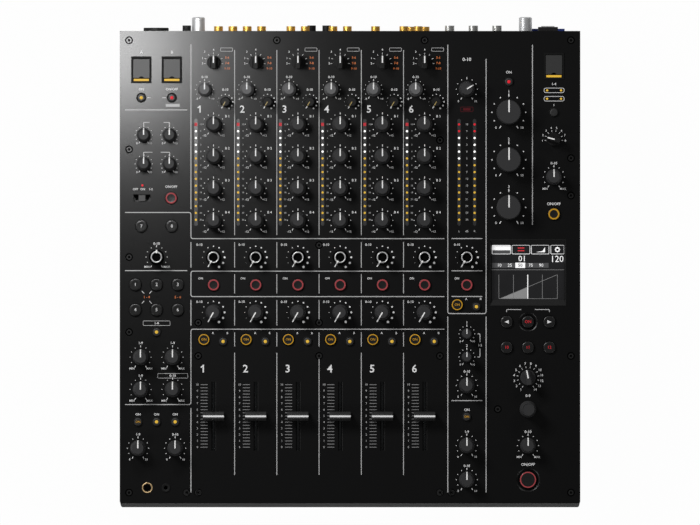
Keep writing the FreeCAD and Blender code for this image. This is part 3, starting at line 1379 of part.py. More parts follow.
rca = rear_turned("rca_jack", "Sizes.rca_neck", "Sizes.rca_flange", sleeve_tail("rca"))
node("rca_jacks", *at_rear(rca, "rca"))
trs = rear_turned("trs_jack", "Sizes.trs_neck", "Sizes.trs_flange", sleeve_tail("trs"))
node("trs_jacks", *at_rear(trs, "trs"))

MIC_FACE = "Sizes.rear_inset + Sizes.mic_reach"
GROOVE_FLOOR = f"{MIC_FACE} - Sizes.xlr_groove"
mic_socket = rear_turned("mic_socket", "Sizes.xlr_neck", "Sizes.xlr_flange", [
    ("Sizes.xlr_shell", "Sizes.socket_flange_thick"), ("Sizes.xlr_shell", MIC_FACE),
    ("Sizes.xlr_inside", MIC_FACE), ("Sizes.xlr_inside", GROOVE_FLOOR),
    ("Sizes.xlr_insert", GROOVE_FLOOR), ("Sizes.xlr_insert", MIC_FACE), ("0", MIC_FACE),
])
RECESS_FLOOR = "Sizes.socket_flange_thick - Sizes.output_recess"
output_socket = turned("output_socket", [
    ("0", f"{RECESS_FLOOR} - Sizes.output_floor"),
    ("Sizes.xlr_neck", f"{RECESS_FLOOR} - Sizes.output_floor"),
    ("Sizes.xlr_neck", "0"),
    ("Sizes.xlr_flange", "0"),
    ("Sizes.xlr_flange", "Sizes.socket_flange_thick"),
    ("Sizes.xlr_inside", "Sizes.socket_flange_thick"),
    ("Sizes.xlr_inside", RECESS_FLOOR),
    ("0", RECESS_FLOOR),
])
output_pins = [
    cylinder("output_pin", "Sizes.output_pin_radius", "Sizes.output_pin_length", x, y, RECESS_FLOOR)
    for x, y in (
        ("-Sizes.output_pin_circle", "0"), ("Sizes.output_pin_circle", "0"), ("0", "Sizes.output_pin_circle"))
]
xlr_solids = at_rear(mic_socket, "mic") + at_rear(output_socket, "output")
for pin in output_pins:
    xlr_solids += at_rear(pin, "output")
node("xlr_jacks", *xlr_solids)

ground = rear_turned("ground_terminal", "Sizes.ground_neck", "Sizes.ground_flange", [
    ("Sizes.ground_head", "Sizes.socket_flange_thick"),
    ("Sizes.ground_head", "Sizes.rear_inset + Sizes.ground_reach"),
    ("0", "Sizes.rear_inset + Sizes.ground_reach"),
])
node("ground_terminals", *at_rear(ground, "ground"))
GUARD_END = "Sizes.rear_inset + Sizes.post_reach"
guard = turned("guard_post", [
    ("0", "-Sizes.socket_inner"),
    ("Sizes.guard_neck", "-Sizes.socket_inner"),
    ("Sizes.guard_neck", "0"),
    ("Sizes.guard_radius", "0"),
    ("Sizes.guard_radius", f"{GUARD_END} - Sizes.guard_edge"),
    ("Sizes.guard_radius - Sizes.guard_edge", GUARD_END),
    ("0", GUARD_END),
])
node("guard_posts", *at_rear(guard, "guard"))

# Mains inlet with three blades in its recess, and a rocker switch in a frame above it.
INLET_FRONT = "Layout.rear_face + Sizes.inlet_flange_thick"
INLET_MOUTH = "Layout.rear_face - Sizes.inlet_inner"


def rear_block(name, width, height, deep, shallow, x=POWER_COLUMN, level=INLET_LEVEL):
    """A block from one depth to another, about a point on the rear panel."""
    return box(
        name, width, f"{shallow} - ({deep})", height, x, f"({shallow} + {deep}) / 2",
        f"{level} - ({height}) / 2")


inlet_body = rear_block("inlet_body", "Sizes.inlet_width", "Sizes.inlet_height", INLET_MOUTH, INLET_FRONT)
INLET_FLANGE_WIDTH = "Sizes.inlet_width + 2 * Sizes.inlet_flange"
INLET_FLANGE_HEIGHT = "Sizes.inlet_height + 2 * Sizes.inlet_flange"
inlet_flange = rear_block(
    "inlet_flange", INLET_FLANGE_WIDTH, INLET_FLANGE_HEIGHT, "Layout.rear_face", INLET_FRONT)
INLET_FLOOR = f"{INLET_FRONT} - Sizes.inlet_recess_depth"
inlet_recess = rear_block(
    "inlet_recess", "Sizes.inlet_recess_width", "Sizes.inlet_recess_height", INLET_FLOOR, INLET_FRONT)
inlet = cut("mains_inlet", fuse("inlet_outside", [inlet_body, inlet_flange]), inlet_recess)
blades = [
    rear_block(
        "inlet_blade", "Sizes.blade_width", "Sizes.blade_height", INLET_FLOOR,
        f"{INLET_FLOOR} + Sizes.blade_length", f"{POWER_COLUMN} + {step} * Sizes.blade_pitch")
    for step in (-1, 0, 1)
]
ROCKER_FACE = "Layout.rear_face + Sizes.rocker_frame_reach"
ROCKER_AXIS = f"{ROCKER_FACE} - Sizes.rocker_thick / 2"
ROCKER_BACK = "Layout.rear_face - Sizes.rear_thick - Sizes.rocker_frame_wall"
frame_block = rear_block(
    "rocker_block", "Sizes.rocker_frame_width", "Sizes.rocker_frame_height", ROCKER_BACK, ROCKER_FACE,
    level=ROCKER_LEVEL)
frame_hole = rear_block(
    "rocker_hole", ROCKER_HOLE_WIDTH, ROCKER_HOLE_HEIGHT, f"{ROCKER_BACK} + Sizes.rocker_frame_wall",
    ROCKER_FACE, level=ROCKER_LEVEL)
ROCKER_WIDTH = f"{ROCKER_HOLE_WIDTH} - 2 * Sizes.rocker_play"
ROCKER_PIN_SPAN = f"{ROCKER_WIDTH} + 2 * Sizes.rocker_pin_length"
PIN_HOLE_SPAN = f"{ROCKER_PIN_SPAN} + 2 * Sizes.rocker_pin_play"
pin_hole = cylinder(
    "rocker_pin_hole", "Sizes.rocker_pin_radius + Sizes.rocker_pin_play", PIN_HOLE_SPAN,
    f"{POWER_COLUMN} - ({PIN_HOLE_SPAN}) / 2", ROCKER_AXIS, ROCKER_LEVEL, ALONG_X)
rocker_frame = cut("rocker_frame", frame_block, fuse("rocker_room", [frame_hole, pin_hole]))
node("mains_inlet", inlet, rocker_frame, *blades)
rocker_plate = box(
    "rocker_plate", ROCKER_WIDTH, "Sizes.rocker_thick", f"{ROCKER_HOLE_HEIGHT} - 2 * Sizes.rocker_play",
    z=f"-({ROCKER_HOLE_HEIGHT} - 2 * Sizes.rocker_play) / 2")
rocker_pin = cylinder(
    "rocker_pin", "Sizes.rocker_pin_radius", ROCKER_PIN_SPAN, f"-({ROCKER_PIN_SPAN}) / 2", along=ALONG_X)
rocker = fuse("rocker", [rocker_plate, rocker_pin])
node("mains_switch_rocker", copy_of(
    rocker, POWER_COLUMN, ROCKER_AXIS, ROCKER_LEVEL, SIZES["rocker_tilt"], REARWARD))

# Main board on pillars over the floor, and the power supply beside it.
PILLAR_TOP = "Layout.floor_top + Sizes.pillar_height"
MAIN_X = across("Sizes.main_board_left + Sizes.main_board_width / 2")
MAIN_Y = back("Sizes.main_board_rear + Sizes.main_board_depth / 2")
main_parts = [box(
    "main_board_sheet", "Sizes.main_board_width", "Sizes.main_board_depth", "Sizes.board_thick",
    MAIN_X, MAIN_Y, PILLAR_TOP)]
for x_sign in (-1, 0, 1):
    for y_sign in (-1, 1):
        main_parts.append(cylinder(
            "board_pillar", "Sizes.pillar_radius", "Sizes.pillar_height",
            f"{MAIN_X} + {x_sign} * (Sizes.main_board_width / 2 - Sizes.pillar_inset)",
            f"{MAIN_Y} + {y_sign} * (Sizes.main_board_depth / 2 - Sizes.pillar_inset)",
            "Layout.floor_top"))
node("main_board", *main_parts)
supply = box(
    "supply_case", "Sizes.supply_width", "Sizes.supply_depth", "Sizes.supply_height",
    across("Layout.case_width - Sizes.supply_right - Sizes.supply_width / 2"),
    back("Sizes.supply_rear + Sizes.supply_depth / 2"), "Layout.floor_top")
node("power_supply", supply)

doc.recompute()
failed = [thing.Name for thing in doc.Objects if "Invalid" in thing.State or "Error" in thing.State]
shapes = {name: Part.getShape(part) for name, part in NODES.items()}
failed += [name for name, shape in shapes.items() if shape.isNull() or not shape.isValid()]
if failed:
    raise RuntimeError("not built: " + ", ".join(failed))
os.makedirs("parts", exist_ok=True)
for name, shape in shapes.items():
    shape.exportStep(f"parts/{name}.step")
print(len(shapes), "nodes,", sum(len(shape.Solids) for shape in shapes.values()), "solids")
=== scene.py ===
import json
import math

import bmesh
import bpy
from mathutils import Matrix, Vector

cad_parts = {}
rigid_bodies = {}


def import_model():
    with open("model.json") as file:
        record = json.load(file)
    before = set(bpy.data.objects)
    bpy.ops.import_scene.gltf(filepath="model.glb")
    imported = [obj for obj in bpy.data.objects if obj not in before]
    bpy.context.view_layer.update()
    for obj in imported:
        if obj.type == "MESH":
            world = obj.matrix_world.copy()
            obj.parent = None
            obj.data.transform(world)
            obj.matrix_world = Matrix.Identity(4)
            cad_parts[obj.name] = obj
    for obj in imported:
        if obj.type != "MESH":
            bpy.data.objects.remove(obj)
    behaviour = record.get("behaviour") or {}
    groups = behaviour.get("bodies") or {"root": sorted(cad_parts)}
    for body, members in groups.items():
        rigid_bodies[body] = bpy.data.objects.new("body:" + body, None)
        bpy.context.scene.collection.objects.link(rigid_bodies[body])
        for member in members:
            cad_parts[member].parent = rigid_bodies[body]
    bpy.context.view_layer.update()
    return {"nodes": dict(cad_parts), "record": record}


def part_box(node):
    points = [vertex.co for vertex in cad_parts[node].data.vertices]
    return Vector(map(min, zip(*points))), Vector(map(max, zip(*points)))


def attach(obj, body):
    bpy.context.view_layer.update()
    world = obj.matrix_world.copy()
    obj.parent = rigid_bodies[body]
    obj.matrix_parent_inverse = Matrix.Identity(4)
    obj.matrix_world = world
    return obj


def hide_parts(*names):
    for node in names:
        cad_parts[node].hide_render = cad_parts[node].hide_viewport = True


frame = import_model()

# Case: steel sheet folded up into a floor, two side walls and a raked front, closed by the rear panel.
# Both are powder coated, which bakes to a near black with a fine orange-peel grain and a dull sheen.
PER_METRE = 1000
GRAIN_LOW, GRAIN_HIGH = 0.3, 0.7


def linear(hex_colour):
    """An sRGB hex value as linear red, green, blue and alpha."""
    shares = [int(hex_colour[start:start + 2], 16) / 255 for start in (1, 3, 5)]
    return [share / 12.92 if share <= 0.04045 else ((share + 0.055) / 1.055) ** 2.4 for share in shares] + [1]


def add(tree, kind, inputs=None, **settings):
    """Adds a node; an input is linked where its value is a socket, and set otherwise."""
    node = tree.nodes.new(kind)
    for name, value in settings.items():
        setattr(node, name, value)
    for name, value in (inputs or {}).items():
        if isinstance(value, bpy.types.NodeSocket):
            tree.links.new(value, node.inputs[name])
        else:
            node.inputs[name].default_value = value
    return node


def surface(name, low, high, grain_mm, rough, bump_mm, shine=0.5, metal=0.0, glow="#ffffff", strength=0.0,
            stretch=(1, 1, 1)):
    """A material whose colour, roughness and relief follow one grain of a real size in millimetres.

    A grain under a millimetre is less than a pixel from the camera: there it only softens the sheen, and
    it shows as a pattern in close views.
    """
    material = bpy.data.materials.new(name)
    material.use_nodes = True
    tree = material.node_tree
    tree.nodes.clear()
    coords = add(tree, "ShaderNodeTexCoord")
    mapping = add(tree, "ShaderNodeMapping", {"Vector": coords.outputs["Object"], "Scale": stretch})
    grain = add(tree, "ShaderNodeTexNoise", {
        "Vector": mapping.outputs["Vector"], "Scale": PER_METRE / grain_mm, "Detail": 4})
    ramp = add(tree, "ShaderNodeValToRGB", {"Fac": grain.outputs[0]})
    for stop, position, colour in zip(ramp.color_ramp.elements, (GRAIN_LOW, GRAIN_HIGH), (low, high)):
        stop.position = position
        stop.color = linear(colour)
    gloss = add(tree, "ShaderNodeMapRange", {
        "Value": grain.outputs[0], "From Min": GRAIN_LOW, "From Max": GRAIN_HIGH,
        "To Min": rough[0], "To Max": rough[1]})
    relief = add(tree, "ShaderNodeBump", {
        "Height": grain.outputs[0], "Strength": 1, "Distance": bump_mm / PER_METRE})
    shader = add(tree, "ShaderNodeBsdfPrincipled", {
        "Base Color": ramp.outputs["Color"], "Roughness": gloss.outputs["Result"],
        "Normal": relief.outputs["Normal"], "Specular IOR Level": shine, "Metallic": metal,
        "Emission Color": linear(glow), "Emission Strength": strength})
    add(tree, "ShaderNodeOutputMaterial", {"Surface": shader.outputs["BSDF"]})
    return material


def paint(material, *nodes):
    """Gives CAD nodes a material."""
    for name in nodes:
        frame["nodes"][name].data.materials.clear()
        frame["nodes"][name].data.materials.append(material)


powder_coat = surface("powder_coated_steel_black", "#1e1f1f", "#272828", 0.6, (0.78, 0.86), 0.012, shine=0.12)
paint(powder_coat, "case_tray", "rear_panel")

# Feet: four turned rubber pads screwed under the floor. The rubber is matt, with the grey of handling
# in its grain.
rubber = surface("moulded_rubber_black", "#121212", "#1d1d1c", 0.9, (0.75, 0.9), 0.03)
paint(rubber, "rubber_feet")

# Boards, fader units and power supply: glass-fibre boards under black solder mask, which is smooth and
# nearly black, and zinc-plated steel for the supply's cage, the stand-offs and the fader frames, which
# is a cold spangled grey. All of it is screwed inside the case, under the panel.
solder_mask = surface("glass_fibre_board_black_mask", "#07090a", "#0c0f0e", 1.5, (0.4, 0.5), 0.01)
zinc_plate = surface("zinc_plated_steel", "#8d9092", "#a8abac", 4, (0.3, 0.42), 0.005, metal=1)
paint(solder_mask, "control_board", "main_board")
paint(zinc_plate, "board_standoffs", "fader_units", "power_supply")

# Top panel: aluminium plate, milled out for every control, then sprayed satin black. The paint has a
# fine tooth that spreads a lamp's reflection over half the panel, as the glare in the rear left corner.
# The tooth is drawn at 0.35 mm, coarser than a spray gun leaves it.
satin_paint = surface(
    "satin_sprayed_aluminium_black", "#050505", "#070708", 0.35, (0.353, 0.372), 0.0006, shine=0.4)
paint(satin_paint, "top_panel")
panel_low, panel_high = (corner * PER_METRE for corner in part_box("top_panel"))
PANEL_TOP = panel_high.z
both_sides = (-1, 1)


def spot(across, back):
    """A place on the panel, from its left and rear edges in millimetres, in the frame."""
    return panel_low.x + across, panel_high.y - back


# Where each control stands: its node, its kind, its distances from the left and rear edges, its turn.
CHANNELS, FIRST_STRIP, STRIP_PITCH = 6, 90.6, 40.8
STRIPS = [FIRST_STRIP + STRIP_PITCH * number for number in range(CHANNELS)]
LEFT, MASTER, ISOLATOR, MULTI, EFFECT = 35.6, 335.4, 376.0, 419.5, 394.5
EFFECT_STEP = 20.65
USB_HALF, MIC_HALF, MIC_SWITCH_HALF = 14.75, 12.4, 14.1
SEND_BUTTON_HALF, SEND_KNOB_HALF, PHONES_HALF, JACK_HALF = 20.5, 15.45, 17.95, 8.95
SELECTOR_ROW, TRIM_ROW, COMP_ROW = 30.4, 56.6, 68.5
TRIM_SHIFT, COMP_SHIFT, CUE_SHIFT, METER_SHIFT, MASTER_METER_HALF = 8.6, 11.4, 9.3, 17.0, 7.5
EQ_ROWS = [90.1 + 30.95 * band for band in range(4)]
FILTER_ROW, ASSIGN_ROW, SEND_ROW = 218.75, 245.35, 271.95
CUE_ROW, CUE_B_ROW, FADER_ROW = 298.15, 300.05, 372.25
USB_ROW, MIDI_ROW, MIC_ROW, TONE_ROW, MIC_SWITCH_ROW = 37.5, 64.5, 100.5, 128.4, 161.5
PASS_ROW, RESONANCE_ROW, MIX_ROW = 188.7, 218.5, 291.0
SEND_BUTTON_ROWS, SEND_KNOB_ROWS = (245.1, 269.5), (315.3, 346.4)
PHONES_BUTTON_ROW, PHONES_ROW, JACK_ROW = 377.7, 403.2, 441.4
MASTER_ROW, MASTER_CUE_ROW, MASTER_CUE_B_ROW = 56.2, 264.55, 266.45
BOOTH_TONE_ROWS, BOOTH_ROW = (292.65, 315.05), 342.55
LINK_ROW, LINK_MIX_ROW, LINK_LEVEL_ROW = 372.75, 400.65, 433.65
ISOLATOR_BUTTON_ROW, ISOLATOR_ROWS = 49.1, [78.6 + 46 * band for band in range(3)]
MULTI_USB_ROW, MODE_ROW, MULTI_SELECT_ROW, MULTI_LEVEL_ROW, MULTI_ON_ROW = 33.9, 78.7, 104.7, 141.2, 176.9
TAP_ROW, BAND_ROW, EFFECT_SELECT_ROW = 281.1, 305.8, 335.0
TIME_ROW, DEPTH_ROW, EFFECT_ON_ROW = 365.5, 400.7, 433.7
LOWEST, MASTER_TURN, MULTI_TURN, EFFECT_TURN = -150, 58, -75, -11.5
controls = {}


def control(owner, kind, across, back, turn=0):
    """Notes a control of one kind that belongs to a node, at a place and turn."""
    controls.setdefault(owner, []).append((kind, across, back, turn))


for number, column in enumerate(STRIPS):
    single = number == 0
    control("channel_1_selector_knob" if single else "selector_knobs", "selector", column, SELECTOR_ROW)
    control("channel_1_trim_knob" if single else "small_knobs", "trim", column - TRIM_SHIFT, TRIM_ROW)
    control("channel_1_comp_knob" if single else "mini_knobs", "comp", column + COMP_SHIFT, COMP_ROW, LOWEST)
    for band, back in zip(("hi", "hi_mid", "low_mid", "low"), EQ_ROWS):
        control(f"channel_1_{band}_knob" if single else "medium_knobs", "medium", column, back)
    control("channel_1_filter_knob" if single else "filter_knobs", "filter", column, FILTER_ROW, LOWEST)
    control("channel_1_send_knob" if single else "medium_knobs", "medium", column, SEND_ROW, LOWEST)
    control("ring_buttons", "red ring", column, ASSIGN_ROW)
    control("cue_buttons", "cue", column - CUE_SHIFT, CUE_ROW)
    control("lamp_buttons", "amber lamp", column + CUE_SHIFT, CUE_B_ROW)
for side, midi_lamp, phones_lamp in ((-1, "amber lamp", "dark lamp"), (1, "red lamp", "amber lamp")):
    control("lamp_buttons", midi_lamp, LEFT + side * USB_HALF, MIDI_ROW)
    for back in (MIC_ROW, TONE_ROW):
        control("small_knobs", "mic", LEFT + side * MIC_HALF, back)
    control("round_buttons", "round", LEFT + side * USB_HALF, PASS_ROW)
    for back in SEND_KNOB_ROWS:
        control("medium_knobs", "medium", LEFT + side * SEND_KNOB_HALF, back)
    control("lamp_buttons", phones_lamp, LEFT + side * PHONES_HALF, PHONES_BUTTON_ROW)
    control("medium_knobs", "medium", LEFT + side * PHONES_HALF, PHONES_ROW)
    control("round_buttons", "round", EFFECT + side * EFFECT_STEP, TAP_ROW)
for step in (-1, 0, 1):
    for back in SEND_BUTTON_ROWS:
        control("round_buttons", "round", LEFT + step * SEND_BUTTON_HALF, back)
    control("round_buttons", "round", EFFECT + step * EFFECT_STEP, BAND_ROW)
control("ring_buttons", "red ring", LEFT + MIC_SWITCH_HALF, MIC_SWITCH_ROW)
control("filter_knobs", "filter", LEFT, RESONANCE_ROW)
control("lamp_buttons", "amber lamp", LEFT, MIX_ROW)
control("lamp_buttons", "amber lamp", LEFT, PHONES_BUTTON_ROW)
control("master_level_knob", "medium", MASTER, MASTER_ROW, MASTER_TURN)
control("filter_knobs", "filter", MASTER, FILTER_ROW, LOWEST)
control("ring_buttons", "red ring", MASTER, ASSIGN_ROW)
control("cue_buttons", "cue", MASTER - CUE_SHIFT, MASTER_CUE_ROW)
control("lamp_buttons", "amber lamp", MASTER + CUE_SHIFT, MASTER_CUE_B_ROW)
for back in BOOTH_TONE_ROWS:
    control("mini_knobs", "booth tone", MASTER, back)
for back in (BOOTH_ROW, LINK_MIX_ROW, LINK_LEVEL_ROW):
    control("medium_knobs", "medium", MASTER, back)
control("lamp_buttons", "dark lamp", MASTER, LINK_ROW)
control("lamp_buttons", "red lamp", ISOLATOR, ISOLATOR_BUTTON_ROW)
for band, back in zip(("hi", "mid", "low"), ISOLATOR_ROWS):
    control(f"isolator_{band}_knob", "isolator", ISOLATOR, back)
control("lamp_buttons", "dark lamp", MULTI, MODE_ROW)
control("multi_channel_knob", "selector", MULTI, MULTI_SELECT_ROW, MULTI_TURN)
control("medium_knobs", "medium", MULTI, MULTI_LEVEL_ROW)
control("ring_buttons", "amber ring", MULTI, MULTI_ON_ROW)
control("tap_button", "tap", EFFECT, TAP_ROW)
control("effect_selector_knob", "effect selector", EFFECT, EFFECT_SELECT_ROW, EFFECT_TURN)
control("effect_time_knob", "time", EFFECT, TIME_ROW)
control("effect_depth_knob", "medium", EFFECT, DEPTH_ROW)
control("effect_on_button", "effect on", EFFECT, EFFECT_ON_ROW)

# Panel print: white, grey and orange ink, screen printed on the paint: section lines, dial dots and
# ticks, fader scales and plain numbers. The film is thin, slightly raised and duller than the paint.
PRINT_LEVEL = PANEL_TOP + 0.04
SECTION_CORNER = 2.2


def ink(name, colour, lift):
    """Printing ink; a little light of its own keeps the thin film from sinking into the dark paint."""
    return surface(name, colour, colour, 0.4, (0.5, 0.65), 0.002, glow=colour, strength=lift)


# White for words and dots, greys for lines and scales, which look thinner, and orange for contrast.
white_ink = ink("screen_ink_white", "#ececec", 0.16)
grey_ink = ink("screen_ink_grey", "#d2d2d2", 0.12)
line_ink = ink("screen_ink_white_lines", "#cecece", 0.03)
orange_ink = ink("screen_ink_orange", "#d8763a", 0.16)
dull_ink = ink("screen_ink_dull_grey", "#8c8c8c", 0.08)
scale_ink = ink("screen_ink_pale_grey", "#b4b4b4", 0.12)


def new_mesh(name, points, faces, smooth=False, sharp_angle=35):
    """A mesh in millimetres from points and outward faces."""
    mesh = bpy.data.meshes.new(name)
    mesh.from_pydata(points, [], faces)
    if smooth:
        mesh.shade_smooth()
        mesh.set_sharp_from_angle(angle=math.radians(sharp_angle))
    mesh.update()
    return mesh


def inked(mesh, material):
    """A mesh in one material."""
    mesh.materials.clear()
    mesh.materials.append(material)
    return mesh


def piece(name, meshes, body, *nodes):
    """Joins meshes drawn in millimetres into one piece in metres that rides on a body."""
    joined = bmesh.new()
    materials = []
    for mesh in meshes:
        material = mesh.materials[-1]
        if material not in materials:
            materials.append(material)
        first = len(joined.faces)
        joined.from_mesh(mesh)
        joined.faces.ensure_lookup_table()
        for face in joined.faces[first:]:
            face.material_index = materials.index(material)
    joined.transform(Matrix.Scale(1 / PER_METRE, 4))
    whole = bpy.data.meshes.new(name)
    joined.to_mesh(whole)
    joined.free()
    for material in materials:
        whole.materials.append(material)
    thing = bpy.data.objects.new(name, whole)
    bpy.context.scene.collection.objects.link(thing)
    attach(thing, body)
    if nodes:
        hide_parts(*nodes)


def ribbon(points, width, level):
    """A flat printed line along points, with mitred corners."""
    vertices = []
    for index, (x, y) in enumerate(points):
        before = points[max(index - 1, 0)]
        after = points[min(index + 1, len(points) - 1)]
        into = Vector((x - before[0], y - before[1]))
        out = Vector((after[0] - x, after[1] - y))
        into = into.normalized() if into.length else out.normalized()
        out = out.normalized() if out.length else into
        normal = Vector((-into.y - out.y, into.x + out.x)).normalized()
        reach = width / 2 / max(0.5, normal.dot(Vector((-into.y, into.x))))
        vertices += [(x + side * normal.x * reach, y + side * normal.y * reach, level) for side in (1, -1)]
    faces = [(here, here + 1, here + 3, here + 2) for here in range(0, 2 * len(points) - 2, 2)]
    return vertices, faces


def rounded(corners, radius, steps=5):
    """A path with its inner corners rounded."""
    path = [corners[0]]
    for before, corner, after in zip(corners, corners[1:], corners[2:]):
        here = Vector(corner)
        start = here + (Vector(before) - here).normalized() * radius
        end = here + (Vector(after) - here).normalized() * radius
        for step in range(steps + 1):
            share = step / steps
            path.append(tuple(start.lerp(here, share).lerp(here.lerp(end, share), share)))
    return path + [corners[-1]]


def lines(paths, width, material, level=PRINT_LEVEL, corner=SECTION_CORNER):
    """Printed lines along paths given from the panel's left and rear edges."""
    points, faces = [], []
    for path in paths:
        more_points, more_faces = ribbon(rounded([spot(*place) for place in path], corner), width, level)
        faces += [tuple(index + len(points) for index in face) for face in more_faces]
        points += more_points
    return inked(new_mesh("lines", points, faces), material)


def upright(column, runs):
    """Straight lines from rear to front at one column."""
    return [[(column, start), (column, end)] for start, end in runs]


def level_line(left, right, back):
    """A straight line from left to right at one row."""
    return [(left, back), (right, back)]


# Section lines: where each column stands, the rows it turns at, and its straight runs between them.
LINE_WIDTH, DIVIDER_WIDTH, THIN_LINE, TAG_LINE = 0.85, 0.7, 0.6, 0.35
LEFT_LINE, MASTER_LINE, RIGHT_LINE, MULTI_LINE = 68.8, 317.0, 354.0, 398.8
LEFT_START, LEFT_END, STRIPS_END, MASTER_START, MASTER_END = 5.1, 65.2, 313.7, 320.6, 350.4
LEFT_BEND, STRIPS_BEND, FILTER_BEND = 175.4, 200.7, 232.1
ASSIGN_BEND, SEND_BEND, PHONES_BEND = 256.7, 288.2, 361.0
MASTER_BEND, ISOLATOR_REAR = 273.1, 27.1
LEFT_RUNS = ((13.0, 172.2), (204.0, 228.7), (259.9, 284.6), (364.5, 445.8))
LOWER_RUN, MASTER_REAR, MULTI_RUN = (276.0, 446.0), 13.4, (13.4, 187.4)
LEFT_BREAKS, MASTER_BREAKS = (76.3, 231.6), (200.6, 231.8, 256.6, 357.2)
section_paths = upright(LEFT_LINE, LEFT_RUNS) + upright(MASTER_LINE, [LOWER_RUN])
section_paths += upright(RIGHT_LINE, [LOWER_RUN]) + upright(MULTI_LINE, [MULTI_RUN])
for outer_start, rear, front, outer_end in (
    (LEFT_START, LEFT_BEND, STRIPS_BEND, STRIPS_END),
    (STRIPS_END, FILTER_BEND, ASSIGN_BEND, STRIPS_END),
    (STRIPS_END, SEND_BEND, PHONES_BEND, LEFT_START),
):
    section_paths.append([(outer_start, rear), (LEFT_LINE, rear), (LEFT_LINE, front), (outer_end, front)])
section_paths.append([
    (MASTER_LINE, MASTER_REAR), (MASTER_LINE, MASTER_BEND), (RIGHT_LINE, MASTER_BEND),
    (RIGHT_LINE, ISOLATOR_REAR)])
section_paths += [level_line(LEFT_START, LEFT_END, back) for back in LEFT_BREAKS]
section_paths += [level_line(MASTER_START, MASTER_END, back) for back in MASTER_BREAKS]
printed = [lines(section_paths, LINE_WIDTH, line_ink)]

# Dividers between the channels; the middle one stops short of the screws that stand in its way.
FIRST_DIVIDER, MIDDLE_DIVIDER = 111.0, 2
DIVIDER_RUNS = ((18.4, 197.3), (204.0, 228.7), (235.0, 253.6), (259.9, 284.6), (291.2, 304.9), (310.9, 429.1))
MIDDLE_RUNS = ((18.4, 197.3), (210.8, 228.7), (235.0, 253.6), (259.9, 278.6), (291.2, 304.9), (317.2, 429.1))
divider_paths = []
for number in range(CHANNELS - 1):
    runs = MIDDLE_RUNS if number == MIDDLE_DIVIDER else DIVIDER_RUNS
    divider_paths += upright(FIRST_DIVIDER + STRIP_PITCH * number, runs)
printed.append(lines(divider_paths, DIVIDER_WIDTH, line_ink))


def hook(middle, side, outer, inner, front, rear):
    """Half of a bracket over a pair of controls."""
    return [(middle + side * outer, front), (middle + side * outer, rear), (middle + side * inner, rear)]


# Brackets over pairs of controls, short dashes between them, and four strokes amid the send buttons.
BRACKET_CORNER, BRACKET_HALF = 0.8, 12.7
DASH_OUTER, DASH_INNER, BOOTH_INNER, BOOTH_OUTER, MODE_DASH = 9.0, 5.3, 10.4, 12.7, (70.6, 72.6)
bracket_paths = upright(MULTI, [MODE_DASH])
for side in both_sides:
    bracket_paths += [
        hook(LEFT, side, BRACKET_HALF, 6.8, 90.6, 88.4), hook(LEFT, side, BRACKET_HALF, 4.0, 119.4, 117.2),
        hook(EFFECT, side, EFFECT_STEP, 6.6, 271.6, 269.2),
        level_line(LEFT + side * DASH_OUTER, LEFT + side * DASH_INNER, MIDI_ROW)]
for back, end in ((292.7, 300.6), (315.0, 306.9)):
    bracket_paths.append([
        (MASTER + BOOTH_INNER, back), (MASTER + BOOTH_OUTER, back), (MASTER + BOOTH_OUTER, end)])
for outer, inner in ((-14.2, -12.0), (-4.8, -7.0)):
    for far, near in ((251.3, 253.8), (263.3, 260.8)):
        bracket_paths.append([(LEFT + outer, far), (LEFT + inner, near)])
printed.append(lines(bracket_paths, THIN_LINE, grey_ink, corner=BRACKET_CORNER))


def outlined(across, back, width, height):
    """A closed outline about a place on the panel, begun in the middle of its rear side."""
    left, right, rear, front = across - width / 2, across + width / 2, back - height / 2, back + height / 2
    return [(across, rear), (right, rear), (right, front), (left, front), (left, rear), (across, rear)]


MODE_PILLS, PILL_SHIFT, PILL_WIDTH, PILL_HEIGHT, PILL_CORNER = (57.4, 65.5), 0.2, 19.4, 4.4, 2.1
TAG_HEIGHT, TAG_CORNER, MIX_TAG_ROW, MIX_TAG_WIDTH = 4.4, 0.7, 282.4, 26
LEVEL_TAG_ROW, LEVEL_TAG_SHIFT, LEVEL_TAG_WIDTH = 333.2, 15.6, 29
CHANNEL_TAG_SHIFT, CHANNEL_TAG_ROW, CHANNEL_TAG_WIDTH, CHANNEL_TAG_HEIGHT = 12.6, 18.0, 11.6, 3.2
pill_paths = [outlined(MULTI + PILL_SHIFT, back, PILL_WIDTH, PILL_HEIGHT) for back in MODE_PILLS]
printed.append(lines(pill_paths, THIN_LINE, grey_ink, corner=PILL_CORNER))
tag_paths = [
    outlined(LEFT, MIX_TAG_ROW, MIX_TAG_WIDTH, TAG_HEIGHT),
    outlined(LEFT + LEVEL_TAG_SHIFT, LEVEL_TAG_ROW, LEVEL_TAG_WIDTH, TAG_HEIGHT)]
tag_paths += [
    outlined(column + CHANNEL_TAG_SHIFT, CHANNEL_TAG_ROW, CHANNEL_TAG_WIDTH, CHANNEL_TAG_HEIGHT)
    for column in STRIPS if column != STRIPS[1]]
printed.append(lines(tag_paths, TAG_LINE, grey_ink, corner=TAG_CORNER))


# Dots and ticks round the dials, by one rule: a shape repeated along an arc, growing from first to last.
def node_tree(name, sockets):
    """A geometry tree with its named inputs and one output."""
    tree = bpy.data.node_groups.new(name, "GeometryNodeTree")
    tree.interface.new_socket(name="Geometry", in_out="INPUT", socket_type="NodeSocketGeometry")
    for label, kind in sockets:
        tree.interface.new_socket(name=label, in_out="INPUT", socket_type=f"NodeSocket{kind}")
    tree.interface.new_socket(name="Geometry", in_out="OUTPUT", socket_type="NodeSocketGeometry")
    return tree, add(tree, "NodeGroupInput").outputs


def shape_copies(tree, given, points, **turn_and_scale):
    """Copies of the tree's shape at points."""
    shape = add(tree, "GeometryNodeObjectInfo", {"Object": given["Shape"], "As Instance": True})
    return add(tree, "GeometryNodeInstanceOnPoints", {
        "Points": points, "Instance": shape.outputs["Geometry"], **turn_and_scale})


